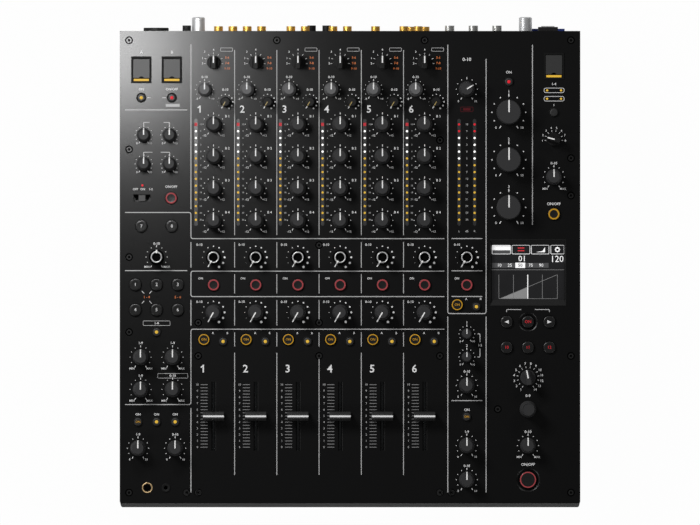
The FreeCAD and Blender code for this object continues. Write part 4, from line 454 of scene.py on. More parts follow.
def at_every_place(tree, given, group):
    """A group of copies, repeated at every place that the tree is given."""
    group_mesh = add(tree, "GeometryNodeRealizeInstances", {0: group.outputs[0]})
    return add(tree, "GeometryNodeInstanceOnPoints", {
        "Points": given["Geometry"], "Instance": group_mesh.outputs[0]})


def finished(tree, given, copies):
    """Ends a tree: copies made into one mesh, in the tree's finish."""
    mesh = add(tree, "GeometryNodeRealizeInstances", {0: copies.outputs[0]})
    coated = add(tree, "GeometryNodeSetMaterial", {"Geometry": mesh.outputs[0], "Material": given["Finish"]})
    add(tree, "NodeGroupOutput", {0: coated.outputs[0]})


def grown(tree, points, inputs, attributes=()):
    """The mesh that a tree makes from points in millimetres and its named inputs."""
    seed = bpy.data.meshes.new("places")
    seed.from_pydata(points, [], [])
    for label, kind, values in attributes:
        layer = seed.attributes.new(label, kind, "POINT")
        layer.data.foreach_set("value", values)
    holder = bpy.data.objects.new("holder", seed)
    bpy.context.scene.collection.objects.link(holder)
    modifier = holder.modifiers.new("tree", "NODES")
    modifier.node_group = tree
    for item in tree.interface.items_tree:
        if item.in_out == "INPUT" and item.name in inputs:
            modifier[item.identifier] = inputs[item.name]
    bpy.context.view_layer.update()
    result = bpy.data.meshes.new_from_object(holder.evaluated_get(bpy.context.evaluated_depsgraph_get()))
    bpy.data.objects.remove(holder)
    return result


dial_tree, given = node_tree("dial_marks", (
    ("Shape", "Object"), ("Finish", "Material"), ("Marks", "Int"), ("Radius", "Float"),
    ("Start", "Float"), ("Sweep", "Float"), ("First size", "Float"), ("Last size", "Float")))
mark_points = add(dial_tree, "GeometryNodePoints", {"Count": given["Marks"]})
mark_index = add(dial_tree, "GeometryNodeInputIndex")
last_mark = add(dial_tree, "ShaderNodeMath", {0: given["Marks"], 1: 1}, operation="SUBTRACT")
share = add(dial_tree, "ShaderNodeMath", {
    0: mark_index.outputs[0], 1: last_mark.outputs[0]}, operation="DIVIDE")
angle = add(dial_tree, "ShaderNodeMath", {
    0: share.outputs[0], 1: given["Sweep"], 2: given["Start"]}, operation="MULTIPLY_ADD")
sine = add(dial_tree, "ShaderNodeMath", {0: angle.outputs[0]}, operation="SINE")
cosine = add(dial_tree, "ShaderNodeMath", {0: angle.outputs[0]}, operation="COSINE")
direction = add(dial_tree, "ShaderNodeCombineXYZ", {"X": sine.outputs[0], "Y": cosine.outputs[0]})
arm = add(dial_tree, "ShaderNodeVectorMath", {
    0: direction.outputs[0], "Scale": given["Radius"]}, operation="SCALE")
on_arc = add(dial_tree, "GeometryNodeSetPosition", {
    "Geometry": mark_points.outputs[0], "Position": arm.outputs[0]})
turned_back = add(dial_tree, "ShaderNodeMath", {0: angle.outputs[0], 1: -1}, operation="MULTIPLY")
facing = add(dial_tree, "ShaderNodeCombineXYZ", {"Z": turned_back.outputs[0]})
facing_turn = add(dial_tree, "FunctionNodeEulerToRotation", {0: facing.outputs[0]})
size = add(dial_tree, "ShaderNodeMapRange", {
    "Value": share.outputs[0], "To Min": given["First size"], "To Max": given["Last size"]})
one_dial = shape_copies(
    dial_tree, given, on_arc.outputs[0], Rotation=facing_turn.outputs[0], Scale=size.outputs[0])
finished(dial_tree, given, at_every_place(dial_tree, given, one_dial))


def master_shape(name, mesh):
    """A shape that the trees repeat; it isn't shown itself."""
    return bpy.data.objects.new(name, mesh)


def flat_shape(name, corners):
    """A flat master shape with one face."""
    return master_shape(name, new_mesh(name, corners, [range(len(corners))]))


def rim(sides, radius=1.0):
    """Points round a circle about the middle."""
    angles = [math.tau * number / sides for number in range(sides)]
    return [(radius * math.cos(angle), radius * math.sin(angle), 0) for angle in angles]


def oblong(half_width, half_length, level=0):
    """The corners of a flat oblong about the middle."""
    return [(x * half_width, y * half_length, level) for x, y in ((-1, -1), (1, -1), (1, 1), (-1, 1))]


DOT_SIDES, TICK_HALF_WIDTH, TICK_HALF_LENGTH = 10, 0.32, 1.0
dot = flat_shape("dot", rim(DOT_SIDES))
tick = flat_shape("tick", oblong(TICK_HALF_WIDTH, TICK_HALF_LENGTH))


def on_panel(places, level=PRINT_LEVEL):
    """Points in the frame for places on the panel."""
    return [(*spot(*place), level) for place in places]


def arc(shape, finish, places, radius, marks, start, sweep, first, last):
    """A shape repeated along an arc round each place, with turns in degrees from the dial's top."""
    return grown(dial_tree, places, {
        "Shape": shape, "Finish": finish, "Marks": marks, "Radius": radius, "Start": math.radians(start),
        "Sweep": math.radians(sweep), "First size": first, "Last size": last})


def dial(places, radius, dot_size=0.46, tick_size=1.0):
    """Dots round each place, with ticks at both ends and at the top."""
    where = on_panel(places)
    printed.append(arc(dot, white_ink, where, radius, 9, -120, 240, dot_size, dot_size))
    printed.append(arc(tick, white_ink, where, radius + 0.3, 3, LOWEST, -2 * LOWEST, tick_size, tick_size))


def growing_dial(places, radius, first, last):
    """Dots that grow clockwise, from a tick at the lowest setting."""
    where = on_panel(places)
    printed.append(arc(dot, white_ink, where, radius, 10, -120, 270, first, last))
    printed.append(arc(tick, white_ink, where, radius - 1.5, 1, LOWEST, 0, 1.5, 1.5))


DIAL_RADIUS, EQ_DIAL, TRIM_DIAL, MIC_DIAL, BOOTH_DIAL, ISOLATOR_DIAL = 10.2, 10.1, 8.8, 8.3, 7.6, 16.3
COMP_DIAL, SEND_DIAL = 7.3, 10.7
SMALL_DOT, MIDDLE_DOT, LARGE_DOT, LARGE_TICK = 0.36, 0.4, 0.66, 1.4
COMP_DOTS, SEND_DOTS = (0.2, 0.85), (0.22, 1.2)
dial([(column, back) for column in STRIPS for back in EQ_ROWS], EQ_DIAL)
dial([(column - TRIM_SHIFT, TRIM_ROW) for column in STRIPS], TRIM_DIAL, SMALL_DOT)
growing_dial([(column + COMP_SHIFT, COMP_ROW) for column in STRIPS], COMP_DIAL, *COMP_DOTS)
growing_dial([(column, FILTER_ROW) for column in STRIPS + [MASTER]], SEND_DIAL, *SEND_DOTS)
growing_dial([(column, SEND_ROW) for column in STRIPS], SEND_DIAL, *SEND_DOTS)
mic_dials = [(LEFT + side * MIC_HALF, back) for side in both_sides for back in (MIC_ROW, TONE_ROW)]
dial(mic_dials, MIC_DIAL, MIDDLE_DOT)
dial([(LEFT + side * SEND_KNOB_HALF, back) for side in both_sides for back in SEND_KNOB_ROWS],
     DIAL_RADIUS, SMALL_DOT)
dial([(MASTER, back) for back in BOOTH_TONE_ROWS], BOOTH_DIAL, MIDDLE_DOT)
dial([(ISOLATOR, back) for back in ISOLATOR_ROWS], ISOLATOR_DIAL, LARGE_DOT, LARGE_TICK)
plain_dials = [(LEFT + side * PHONES_HALF, PHONES_ROW) for side in both_sides]
plain_dials += [(MASTER, back) for back in (MASTER_ROW, BOOTH_ROW, LINK_MIX_ROW, LINK_LEVEL_ROW)]
dial(plain_dials + [(LEFT, RESONANCE_ROW), (MULTI, MULTI_LEVEL_ROW), (EFFECT, DEPTH_ROW)], DIAL_RADIUS)
SELECTOR_SWEEP, EFFECT_SWEEP, SWITCH_TICK = 195, 299, 0.85
for places, radius, marks, sweep in (
    ([(column, SELECTOR_ROW) for column in STRIPS], 8.6, 7, SELECTOR_SWEEP),
    ([(MULTI, MULTI_SELECT_ROW)], 8.2, 8, SELECTOR_SWEEP),
    ([(EFFECT, EFFECT_SELECT_ROW)], 10.2, 14, EFFECT_SWEEP),
):
    where = on_panel(places)
    printed.append(arc(tick, grey_ink, where, radius, marks, -sweep / 2, sweep, SWITCH_TICK, SWITCH_TICK))

# Fader scales: twenty-one short lines beside each slot, one ladder repeated at every channel.
ladder_tree, given = node_tree("ladder", (
    ("Shape", "Object"), ("Finish", "Material"), ("Steps", "Int"), ("Pitch", "Float")))
downward = add(ladder_tree, "ShaderNodeMath", {0: given["Pitch"], 1: -1}, operation="MULTIPLY")
offset = add(ladder_tree, "ShaderNodeCombineXYZ", {"Y": downward.outputs[0]})
rungs = add(ladder_tree, "GeometryNodeMeshLine", {"Count": given["Steps"], "Offset": offset.outputs[0]})
one_ladder = shape_copies(ladder_tree, given, rungs.outputs[0])
finished(ladder_tree, given, at_every_place(ladder_tree, given, one_ladder))


def ladder(shape, finish, places, steps=1, pitch=1.0):
    """A shape repeated from rear to front, from each place."""
    return grown(ladder_tree, places, {"Shape": shape, "Finish": finish, "Steps": steps, "Pitch": pitch})


SCALE_STEPS, SCALE_PITCH, SCALE_REAR, SCALE_SHIFT = 21, 3.02, 341.8, -9.05
SCALE_HALF_LENGTH, SCALE_HALF_WIDTH = 3.4, 0.3
scale_line = flat_shape("scale_line", oblong(SCALE_HALF_LENGTH, SCALE_HALF_WIDTH))
scale_places = on_panel([(column + SCALE_SHIFT, SCALE_REAR) for column in STRIPS])
printed.append(ladder(scale_line, dull_ink, scale_places, SCALE_STEPS, SCALE_PITCH))

# Plain numbers, ON, OFF, MIN and MAX: (text, across, back, height) each, about the middle.
CAPITAL_SHARE, STROKE_WEIGHT = 0.69, 0.02


def lettering(words, material, level=PRINT_LEVEL, weight=0.0):
    """Plain words and numbers laid flat; weight thickens the strokes by a share of the height."""
    texts = []
    for text, across, back, height in words:
        curve = bpy.data.curves.new("word", "FONT")
        curve.body = text
        curve.size = height / CAPITAL_SHARE
        curve.align_x = "CENTER"
        curve.align_y = "CENTER"
        curve.resolution_u = 2
        curve.offset = weight * height
        text_object = bpy.data.objects.new("word", curve)
        bpy.context.scene.collection.objects.link(text_object)
        texts.append((text_object, (*spot(across, back), level)))
    bpy.context.view_layer.update()
    depsgraph = bpy.context.evaluated_depsgraph_get()
    words_mesh = bmesh.new()
    for text_object, place in texts:
        flat = bpy.data.meshes.new_from_object(text_object.evaluated_get(depsgraph))
        flat.transform(Matrix.Translation(place))
        words_mesh.from_mesh(flat)
        bpy.data.meshes.remove(flat)
    for text_object, place in texts:
        bpy.data.objects.remove(text_object)
    mesh = bpy.data.meshes.new("words")
    words_mesh.to_mesh(mesh)
    words_mesh.free()
    return inked(mesh, material)


TINY, SMALL, PLAIN, LARGE = 1.9, 2.0, 2.3, 2.4


def ends(low, high, across, back, left, right, height=TINY):
    """Words beside the two end ticks of a dial."""
    return [(low, across - left, back, height), (high, across + right, back, height)]


def around(across, back, radius, count, sweep, height):
    """Numbers from 1 round a dial."""
    turns = [math.radians(-sweep / 2 + sweep / (count - 1) * step) for step in range(count)]
    return [
        (str(number + 1), across + radius * math.sin(turn), back - radius * math.cos(turn), height)
        for number, turn in enumerate(turns)]


LAMP_PITCH, LAMP_REAR = 6.58, 90.3
CHANNEL_LEVELS = (12, 9, 6, 3, 0, 3, 6, 9, 12, 15, 18, 21, 24, 30, 36)
MASTER_LEVELS = CHANNEL_LEVELS[:-2] + (27, 30)
KNOB_DROP = 11.0
# A channel's words: their shifts from its middle line, their rows from the rear edge, and their heights.
CHANNEL_NUMBER_SHIFT, CHANNEL_NUMBER_ROW, CHANNEL_NUMBER_HEIGHT = -13.0, 75.9, 6.8
FADER_NUMBER_SHIFT, FADER_NUMBER_ROW, FADER_NUMBER_HEIGHT = -9.9, 326.7, 7.2
SCALE_NUMBER_SHIFT, SCALE_NUMBERS, LEVEL_SHIFT, LEVEL_HEIGHT = -15.6, 11, -12.3, 1.5
SELECTOR_PLACES = ((-10.6, 26.4), (-10.6, 31.4), (-8.6, 20.2), (0, 18.2))
INPUT_SHIFT, INPUT_ROWS, INPUT_HEIGHT = 13.2, (25.8, 31.2, 36.4), 2.1
TRIM_RANGE_ROW, COMP_RANGE_ROW, FILTER_RANGE_ROW, SEND_RANGE_ROW = 44.6, 56.8, 206.6, 261.8
RANGE_SHIFT, ON_SHIFT, ON_ROW, TRIM_END_ROW, CUE_WORD_ROW = -13.6, -12.4, 239.2, 65.8, 292.0
BAND_SHIFT, BAND_LIFT = 13.4, 7.6
big_numbers, small_words, orange_words, dull_words = [], [], [], []
for number, column in enumerate(STRIPS):
    name = str(number + 1)
    big_numbers += [
        (name, column + CHANNEL_NUMBER_SHIFT, CHANNEL_NUMBER_ROW, CHANNEL_NUMBER_HEIGHT),
        (name, column + FADER_NUMBER_SHIFT, FADER_NUMBER_ROW, FADER_NUMBER_HEIGHT)]
    for step in range(SCALE_NUMBERS):
        back = SCALE_REAR + 2 * SCALE_PITCH * step
        dull_words.append((str(SCALE_NUMBERS - 1 - step), column + SCALE_NUMBER_SHIFT, back, TINY))
    for step, level in enumerate(CHANNEL_LEVELS):
        dull_words.append((str(level), column + LEVEL_SHIFT, LAMP_REAR + LAMP_PITCH * step, LEVEL_HEIGHT))
    for setting, (shift, back) in enumerate(SELECTOR_PLACES):
        small_words.append((str(setting + 1), column + shift, back, TINY))
    for shift, back in (
        (-TRIM_SHIFT, TRIM_RANGE_ROW), (COMP_SHIFT, COMP_RANGE_ROW),
        (RANGE_SHIFT, FILTER_RANGE_ROW), (RANGE_SHIFT, SEND_RANGE_ROW),
    ):
        small_words.append(("0-10", column + shift, back, PLAIN))
    small_words.append(("ON", column + ON_SHIFT, ON_ROW, SMALL))
    small_words += ends("-9", "+9", column - TRIM_SHIFT, TRIM_END_ROW, 7.4, 8.0)
    small_words += ends("A", "B", column, CUE_WORD_ROW, 0.6, 13.4, SMALL)
    for band, back in enumerate(EQ_ROWS):
        small_words.append((f"B {band + 1}", column + BAND_SHIFT, back - BAND_LIFT, PLAIN))
        small_words += ends("-12", "+12", column, back + KNOB_DROP, 8.6, 8.6)
    for text, back in zip(("5-6", "7-8", "9-10"), INPUT_ROWS):
        orange_words.append((text, column + INPUT_SHIFT, back, INPUT_HEIGHT))

# Left section, from rear to front.
small_words += ends("A", "B", LEFT, 20.6, USB_HALF, USB_HALF, 2.6)
small_words += ends("ON", "ON/OFF", LEFT, 56.4, USB_HALF, USB_HALF, 2.2)
small_words += ends("1", "2", LEFT, 90.8, MIC_HALF, MIC_HALF, PLAIN)
small_words += ends("3", "4", LEFT, 120.0, MIC_HALF, MIC_HALF, PLAIN)
small_words += [("OFF", 15.2, 153.0, SMALL), ("ON", 22.2, 153.0, SMALL), ("1-2", 30.0, 153.0, SMALL)]
small_words += [("ON/OFF", LEFT + MIC_SWITCH_HALF, 150.6, 2.2), ("0-10", LEFT, 205.6, LARGE)]
small_words += ends("MIN", "MAX", LEFT, 228.0, 9.4, 9.8, SMALL)
orange_words += ends("1 - 4", "5 - 6", LEFT, 257.3, 9.6, SEND_BUTTON_HALF, PLAIN)
small_words += [("1-6", LEFT, MIX_TAG_ROW, LARGE), ("0-10", LEFT + LEVEL_TAG_SHIFT, LEVEL_TAG_ROW, LARGE)]
small_words += ends("1-9", "1-9", LEFT, 301.6, SEND_KNOB_HALF, SEND_KNOB_HALF, PLAIN)
small_words.append(("1-9", LEFT - SEND_KNOB_HALF, LEVEL_TAG_ROW, PLAIN))
small_words += [("ON", LEFT + step * PHONES_HALF, 370.6, 2.2) for step in (-1, 0, 1)]
small_words += ends("1-9", "0-10", LEFT, 390.0, PHONES_HALF, PHONES_HALF, PLAIN)
for side in both_sides:
    for back in (MIC_ROW, TONE_ROW):
        small_words += ends("0", "10", LEFT + side * MIC_HALF, back + 8.2, 6.6, 6.6)
    for back in SEND_KNOB_ROWS:
        small_words += ends("MIN", "MAX", LEFT + side * SEND_KNOB_HALF, back + KNOB_DROP, 8.4, 8.6)
    small_words += ends("0", "10", LEFT + side * PHONES_HALF, PHONES_ROW + KNOB_DROP, 8.0, 8.0)

# Master, isolator, multi and effect sections, from rear to front.
small_words.append(("0-10", MASTER, 27.6, 3.2))
small_words += [("0-10", MASTER - 9.6, 206.6, 2.2), ("ON", MASTER - 9.6, 239.2, SMALL)]
small_words += ends("0", "10", MASTER, 68.0, 8.2, 8.4) + ends("A", "B", MASTER, 259.0, 0.6, 13.4, SMALL)
dull_words += [
    (str(level), MASTER, LAMP_REAR + LAMP_PITCH * step, 1.8) for step, level in enumerate(MASTER_LEVELS)]
dull_words += ends("L", "R", MASTER, 193.6, MASTER_METER_HALF, MASTER_METER_HALF)
dull_words.append(("dB", MASTER, 193.6, TINY))
small_words += [("1", MASTER, 281.8, LARGE), ("2", MASTER, 304.2, LARGE)]
small_words.append(("1-2", MASTER + BOOTH_OUTER, 303.8, SMALL))
small_words += [("0-10", MASTER, 329.2, LARGE), ("ON", MASTER, 366.2, PLAIN)]
small_words += [("1-9", MASTER, 387.4, PLAIN), ("0-10", MASTER, 420.4, PLAIN)]
for back in BOOTH_TONE_ROWS:
    small_words += ends("0", "10", MASTER, back + 7.4, 6.4, 6.4, 1.8)
for back in (BOOTH_ROW, LINK_MIX_ROW, LINK_LEVEL_ROW):
    small_words += ends("0", "10", MASTER, back + KNOB_DROP, 8.4, 8.4)
small_words.append(("ON", ISOLATOR, 40.0, LARGE))
for band, back in enumerate(ISOLATOR_ROWS):
    small_words.append((str(band + 1), ISOLATOR, back - 20.0, 2.5))
    small_words += ends("0", "10", ISOLATOR, back + 15.0, 12.4, 12.6, 2.2)
small_words += [("1-4", MULTI, 51.4, LARGE), ("0-10", MULTI, 128.0, LARGE), ("ON/OFF", MULTI, 167.2, 2.5)]
small_words += ends("MIN", "MAX", MULTI, 152.6, 8.6, 8.8)
small_words += around(MULTI, MULTI_SELECT_ROW, 11.2, 8, SELECTOR_SWEEP, TINY)
small_words += around(EFFECT, EFFECT_SELECT_ROW, 13.6, 14, EFFECT_SWEEP, 2.2)
small_words += [("0-9", EFFECT, 352.6, 2.5), ("0-10", EFFECT, 387.4, 2.5), ("ON/OFF", EFFECT, 419.0, 2.5)]
small_words += ends("MIN", "MAX", EFFECT, 411.8, 8.6, 8.8)
# The flag on a large figure one: a short stroke from its foot's place to its head's.
FLAG_FOOT, FLAG_HEAD, FLAG_WIDTH = (2.4, 1.5), (0.3, 3.1), 1.1
numeral_flags = [
    [(across - left, back - rise) for left, rise in (FLAG_FOOT, FLAG_HEAD)]
    for text, across, back, height in big_numbers if text == "1"]
printed.append(lines(numeral_flags, FLAG_WIDTH, white_ink))
for words, finish in (
    (big_numbers, white_ink), (small_words, white_ink), (orange_words, orange_ink), (dull_words, scale_ink),
):
    printed.append(lettering(words, finish, weight=STROKE_WEIGHT))
piece("panel_print", printed, "mixer_body")

# Level meters: smoked acrylic lenses let into the panel, nearly black with one even sheen, and fifteen
# lamps glowing through each: red at the rear, then white, then amber.
smoked_acrylic = surface("moulded_acrylic_smoked", "#151515", "#1b1b1b", 3, (0.42, 0.46), 0.0005, shine=1)
paint(smoked_acrylic, "level_meters")


def lit(name, colour, glow):
    """A lamp seen through a diffusing lens: its colour shows even where no light falls."""
    return surface(name, colour, colour, 0.8, (0.5, 0.6), 0.002, shine=0.15, glow=colour, strength=glow)


# The rear lamp of a channel's meter is a wider flat block in a dimmer red.
amber_lamp = lit("diffused_lamp_amber", "#d6ac3a", 0.48)
white_lamp = lit("diffused_lamp_white", "#f4f4f2", 0.8)
red_lamp = lit("diffused_lamp_red", "#c81c2a", 0.65)
dim_red_lamp = lit("diffused_lamp_dim_red", "#b02e36", 0.48)
LAMP_SIDES, LAMP_RADIUS, LAMP_TOP, LAMP_RISE = 12, 1.1, 0.6, 0.05
lamp_rim = rim(LAMP_SIDES, LAMP_RADIUS)
lamp_points = lamp_rim + [(x * LAMP_TOP, y * LAMP_TOP, LAMP_RISE) for x, y, z in lamp_rim]
lamp_faces = [range(LAMP_SIDES, 2 * LAMP_SIDES)]
for number in range(LAMP_SIDES):
    after = (number + 1) % LAMP_SIDES
    lamp_faces.append((number, after, LAMP_SIDES + after, LAMP_SIDES + number))
chip_lamp = master_shape("chip_lamp", new_mesh("chip_lamp", lamp_points, lamp_faces))
PEAK_HALF_WIDTH, PEAK_HALF_LENGTH, PEAK_LIFT = 1.35, 1.55, 0.02
peak_lamp = flat_shape("peak_lamp", oblong(PEAK_HALF_WIDTH, PEAK_HALF_LENGTH, PEAK_LIFT))
LENS_LEVEL = PANEL_TOP - 0.08
MIC_LAMP, MODE_LAMP_HALF = (21.9, 149.2), 6.75
channel_meters = [column - METER_SHIFT for column in STRIPS]
master_meters = [MASTER + side * MASTER_METER_HALF for side in both_sides]
meter_lamps = []
for columns, rows in (
    (channel_meters, ((peak_lamp, dim_red_lamp, 1), (chip_lamp, white_lamp, 4), (chip_lamp, amber_lamp, 10))),
    (master_meters, ((chip_lamp, red_lamp, 2), (chip_lamp, white_lamp, 4), (chip_lamp, amber_lamp, 9))),
):
    start = LAMP_REAR
    for shape, finish, count in rows:
        places = on_panel([(column, start) for column in columns], LENS_LEVEL)
        meter_lamps.append(ladder(shape, finish, places, count, LAMP_PITCH))
        start += count * LAMP_PITCH
mode_lamps = [
    (MULTI + side * MODE_LAMP_HALF + PILL_SHIFT, back) for side in both_sides for back in MODE_PILLS]
meter_lamps.append(ladder(chip_lamp, amber_lamp, on_panel(mode_lamps)))
meter_lamps.append(ladder(chip_lamp, red_lamp, on_panel([MIC_LAMP])))
piece("meter_lamps", meter_lamps, "mixer_body")

# Display: a colour panel behind glass, sunk in a moulded bezel whose four sides slope down to it. The
# bezel is a soft black, the glass dark and shiny. The picture is plain: four boxes, a row of numbers
# and a rising graph.
bezel_plastic = surface("moulded_abs_black_satin", "#121212", "#191919", 0.5, (0.45, 0.55), 0.004, shine=0.3)
paint(bezel_plastic, "display_bezel")
screen_glass = surface(
    "display_glass_dark_grey", "#1b1b1c", "#242425", 30, (0.08, 0.12), 0.0, glow="#202021", strength=0.5)
paint(screen_glass, "display_screen")
# The picture's light: white, two greys and a red, and a ground darker than the glass.
screen_white = lit("display_light_white", "#e6e6e6", 0.7)
screen_grey = lit("display_light_grey", "#7c7c7c", 0.6)
screen_dim = lit("display_light_dim", "#4a4a4b", 0.5)
screen_red = lit("display_light_red", "#c03038", 0.6)
screen_dark = surface("display_dark_ground", "#0c0c0c", "#101010", 2, (0.4, 0.5), 0.0)
SCREEN_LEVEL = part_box("display_screen")[1].z * PER_METRE + 0.05
OVER_LEVEL, TOP_LEVEL = SCREEN_LEVEL + 0.03, SCREEN_LEVEL + 0.06


def patch(corners, material, level=SCREEN_LEVEL):
    """A flat area with corners on the panel."""
    points = [(*spot(*corner), level) for corner in corners]
    return inked(new_mesh("patch", points, [range(len(points))]), material)


def block(left, rear, right, front):
    """An oblong's corners on the panel."""
    return [(left, front), (right, front), (right, rear), (left, rear)]


picture = [
    patch(block(360.2, 207.3, 377.4, 211.9), screen_white),
    patch(block(360.2, 212.2, 377.4, 215.2), screen_dim),
    patch(block(384.6, 209.2, 391.0, 210.2), screen_red),
    patch(block(384.6, 211.8, 391.0, 212.8), screen_red),
    patch(block(360.0, 224.2, 414.4, 228.8), screen_dim),
    patch(block(382.3, 223.9, 391.8, 229.0), screen_white, OVER_LEVEL),
    patch([(367.4, 258.7), (394.3, 258.7), (394.3, 247.2)], screen_grey),
    patch([(402.0, 213.8), (411.0, 213.8), (411.0, 208.8), (408.6, 212.6)], screen_white),
]
ICON_SPANS = ((359.9, 377.6), (379.1, 396.4), (397.8, 414.8), (416.6, 429.4))
ICON_REAR, ICON_FRONT, ICON_CORNER, ICON_LINE = 207.1, 215.5, 1.0, 0.45
GRAPH_COLUMNS = (366.4, 380.5, 394.3, 408.4, 422.9)
GRAPH_REAR, GRAPH_FRONT, GRAPH_LINE, MARKER_LINE = 235.5, 258.7, 0.35, 0.8
SCREEN_LEFT, SCREEN_RIGHT, RULE_ROW = 359.6, 429.6, 230.8
icon_paths = [
    outlined((left + right) / 2, (ICON_REAR + ICON_FRONT) / 2, right - left, ICON_FRONT - ICON_REAR)
    for left, right in ICON_SPANS]
graph_run = [(GRAPH_REAR, GRAPH_FRONT)]
graph_left, graph_right = GRAPH_COLUMNS[0], GRAPH_COLUMNS[-1]
graph_paths = [path for column in GRAPH_COLUMNS for path in upright(column, graph_run)]
graph_paths.append(level_line(graph_left, graph_right, GRAPH_FRONT))
graph_paths.append(level_line(SCREEN_LEFT, SCREEN_RIGHT, RULE_ROW))
graph_paths.append([(graph_left + 1, GRAPH_FRONT), (graph_right, GRAPH_REAR)])
picture.append(lines(icon_paths, ICON_LINE, screen_white, SCREEN_LEVEL, ICON_CORNER))
picture.append(lines(graph_paths, GRAPH_LINE, screen_grey, SCREEN_LEVEL))
picture.append(lines(upright(GRAPH_COLUMNS[2], graph_run), MARKER_LINE, screen_white, OVER_LEVEL))
picture.append(lettering([("120", 422.6, 220.6, 6.0), ("01", 389.0, 220.2, 5.4)], screen_white, SCREEN_LEVEL))
NUMBER_LEFT, NUMBER_STEP, NUMBER_ROW, NUMBER_HEIGHT, CHOSEN = 366.9, 10.1, 226.5, 3.0, 2
number_row = [
    (text, NUMBER_LEFT + NUMBER_STEP * step, NUMBER_ROW, NUMBER_HEIGHT)
    for step, text in enumerate(("10", "25", "50", "75", "90"))]
chosen_number = number_row.pop(CHOSEN)
picture.append(lettering(number_row, screen_white, OVER_LEVEL))
picture.append(lettering([chosen_number], screen_dark, TOP_LEVEL, STROKE_WEIGHT))
picture.append(arc(dot, screen_white, on_panel([(423.0, 211.3)], SCREEN_LEVEL), 1.9, 9, 0, 360, 0.75, 0.75))
piece("display_picture", picture, "mixer_body")

# Printed fields: a pale one in front of a lamp button at the left, in plain ink, and a dark red one in
# an outline in front of the master level knob, where a lamp under the panel can shine through.
pale_field = ink("screen_ink_pale_field", "#c4c4c4", 0.05)
# The red field's lamp is off, but it is given a faint red glow of its own: painted light.
red_field = lit("diffused_field_red_unlit", "#4c1016", 0.3)
FIELD_ROW, FIELD_WIDTH, FIELD_HEIGHT, FIELD_LINE, FIELD_CORNER = 75.75, 12.0, 4.4, 0.4, 1.0
RED_HALF, RED_REAR, RED_FRONT = 3.6, 74.6, 76.9
PALE_LEFT, PALE_RIGHT, PALE_REAR, PALE_FRONT = 44.4, 57.9, 70.6, 73.3
field_outline = [outlined(MASTER, FIELD_ROW, FIELD_WIDTH, FIELD_HEIGHT)]
piece("panel_fields", [
    patch(block(PALE_LEFT, PALE_REAR, PALE_RIGHT, PALE_FRONT), pale_field, PRINT_LEVEL),
    patch(block(MASTER - RED_HALF, RED_REAR, MASTER + RED_HALF, RED_FRONT), red_field, PRINT_LEVEL),
    lines(field_outline, FIELD_LINE, red_field, PRINT_LEVEL, FIELD_CORNER),
], "mixer_body")

# USB wells: moulded black frames pressed into the panel, dead matt, each with a sprung flap on a pin and
# an amber lamp bar in front of it. The flaps are a grey satin, with a thumb notch at the front edge.
well_plastic = surface("moulded_abs_black_matt", "#0a0a0a", "#101010", 0.5, (0.8, 0.9), 0.01, shine=0.2)
paint(well_plastic, "usb_ports")
flap_plastic = surface("moulded_abs_grey_satin", "#2c2c2c", "#323232", 0.5, (0.58, 0.64), 0.003)
paint(flap_plastic, "usb_flap_left", "usb_flap_middle", "usb_flap_right")
USB_LIP, BAR_LIFT, BAR_FRONT, BAR_WIDTH, BAR_LENGTH = 0.6, 0.04, 10.9, 14.6, 2.1
bars = []
for across, back in ((LEFT - USB_HALF, USB_ROW), (LEFT + USB_HALF, USB_ROW), (MULTI, MULTI_USB_ROW)):
    front = back + BAR_FRONT
    corners = block(across - BAR_WIDTH / 2, front - BAR_LENGTH, across + BAR_WIDTH / 2, front)
    bars.append(patch(corners, amber_lamp, PANEL_TOP + USB_LIP + BAR_LIFT))
piece("usb_lamp_bars", bars, "mixer_body")

# Panel screws: black painted socket-head machine screws let into counterbores, with a hexagon for the
# key. Their satin heads catch the glare; the shade round each head and in its hexagon is painted shade in
# dead black.
planted_tree, given = node_tree("planted", (("Shape", "Object"), ("Finish", "Material")))
turn_value = add(planted_tree, "GeometryNodeInputNamedAttribute", {"Name": "turn"}, data_type="FLOAT")
turn_axis = add(planted_tree, "ShaderNodeCombineXYZ", {"Z": turn_value.outputs["Attribute"]})
turn_angle = add(planted_tree, "FunctionNodeEulerToRotation", {0: turn_axis.outputs[0]})
finished(planted_tree, given, shape_copies(
    planted_tree, given, given["Geometry"], Rotation=turn_angle.outputs[0]))


def planted(places, shape, material):
    """Copies of a shape at (across, back, turn) places, turned clockwise by degrees."""
    points = on_panel([place[:2] for place in places], PANEL_TOP)
    turns = [-math.radians(place[2]) for place in places]
    return grown(planted_tree, points, {"Shape": shape, "Finish": material}, [("turn", "FLOAT", turns)])


def turned(name, profile, sides=40, flutes=0, flute_depth=0.0, sharp_angle=35):
    """A turned shape from (radius, height, flute share) rows, from its foot's middle to its top's middle."""
    points, faces, rings = [], [], []
    for radius, height, *fluted in profile:
        if radius == 0:
            rings.append([len(points)])
            points.append((0, 0, height))
            continue
        rings.append(range(len(points), len(points) + sides))
        depth = flute_depth * fluted[0] if fluted else 0
        for side in range(sides):
            angle = math.tau * side / sides
            here = radius - max(0, math.cos(angle * flutes)) ** 2 * depth
            points.append((here * math.cos(angle), here * math.sin(angle), height))
    for lower, upper in zip(rings, rings[1:]):
        for side in range(sides):
            after = (side + 1) % sides
            if len(lower) == 1:
                faces.append((lower[0], upper[after], upper[side]))
            elif len(upper) == 1:
                faces.append((lower[side], lower[after], upper[0]))
            else:
                faces.append((lower[side], lower[after], upper[after], upper[side]))
    return master_shape(name, new_mesh(name, points, faces, smooth=True, sharp_angle=sharp_angle))


screw_paint = surface("black_painted_steel", "#1a1a1a", "#222222", 0.5, (0.36, 0.42), 0.001)
paint(screw_paint, "panel_screws")
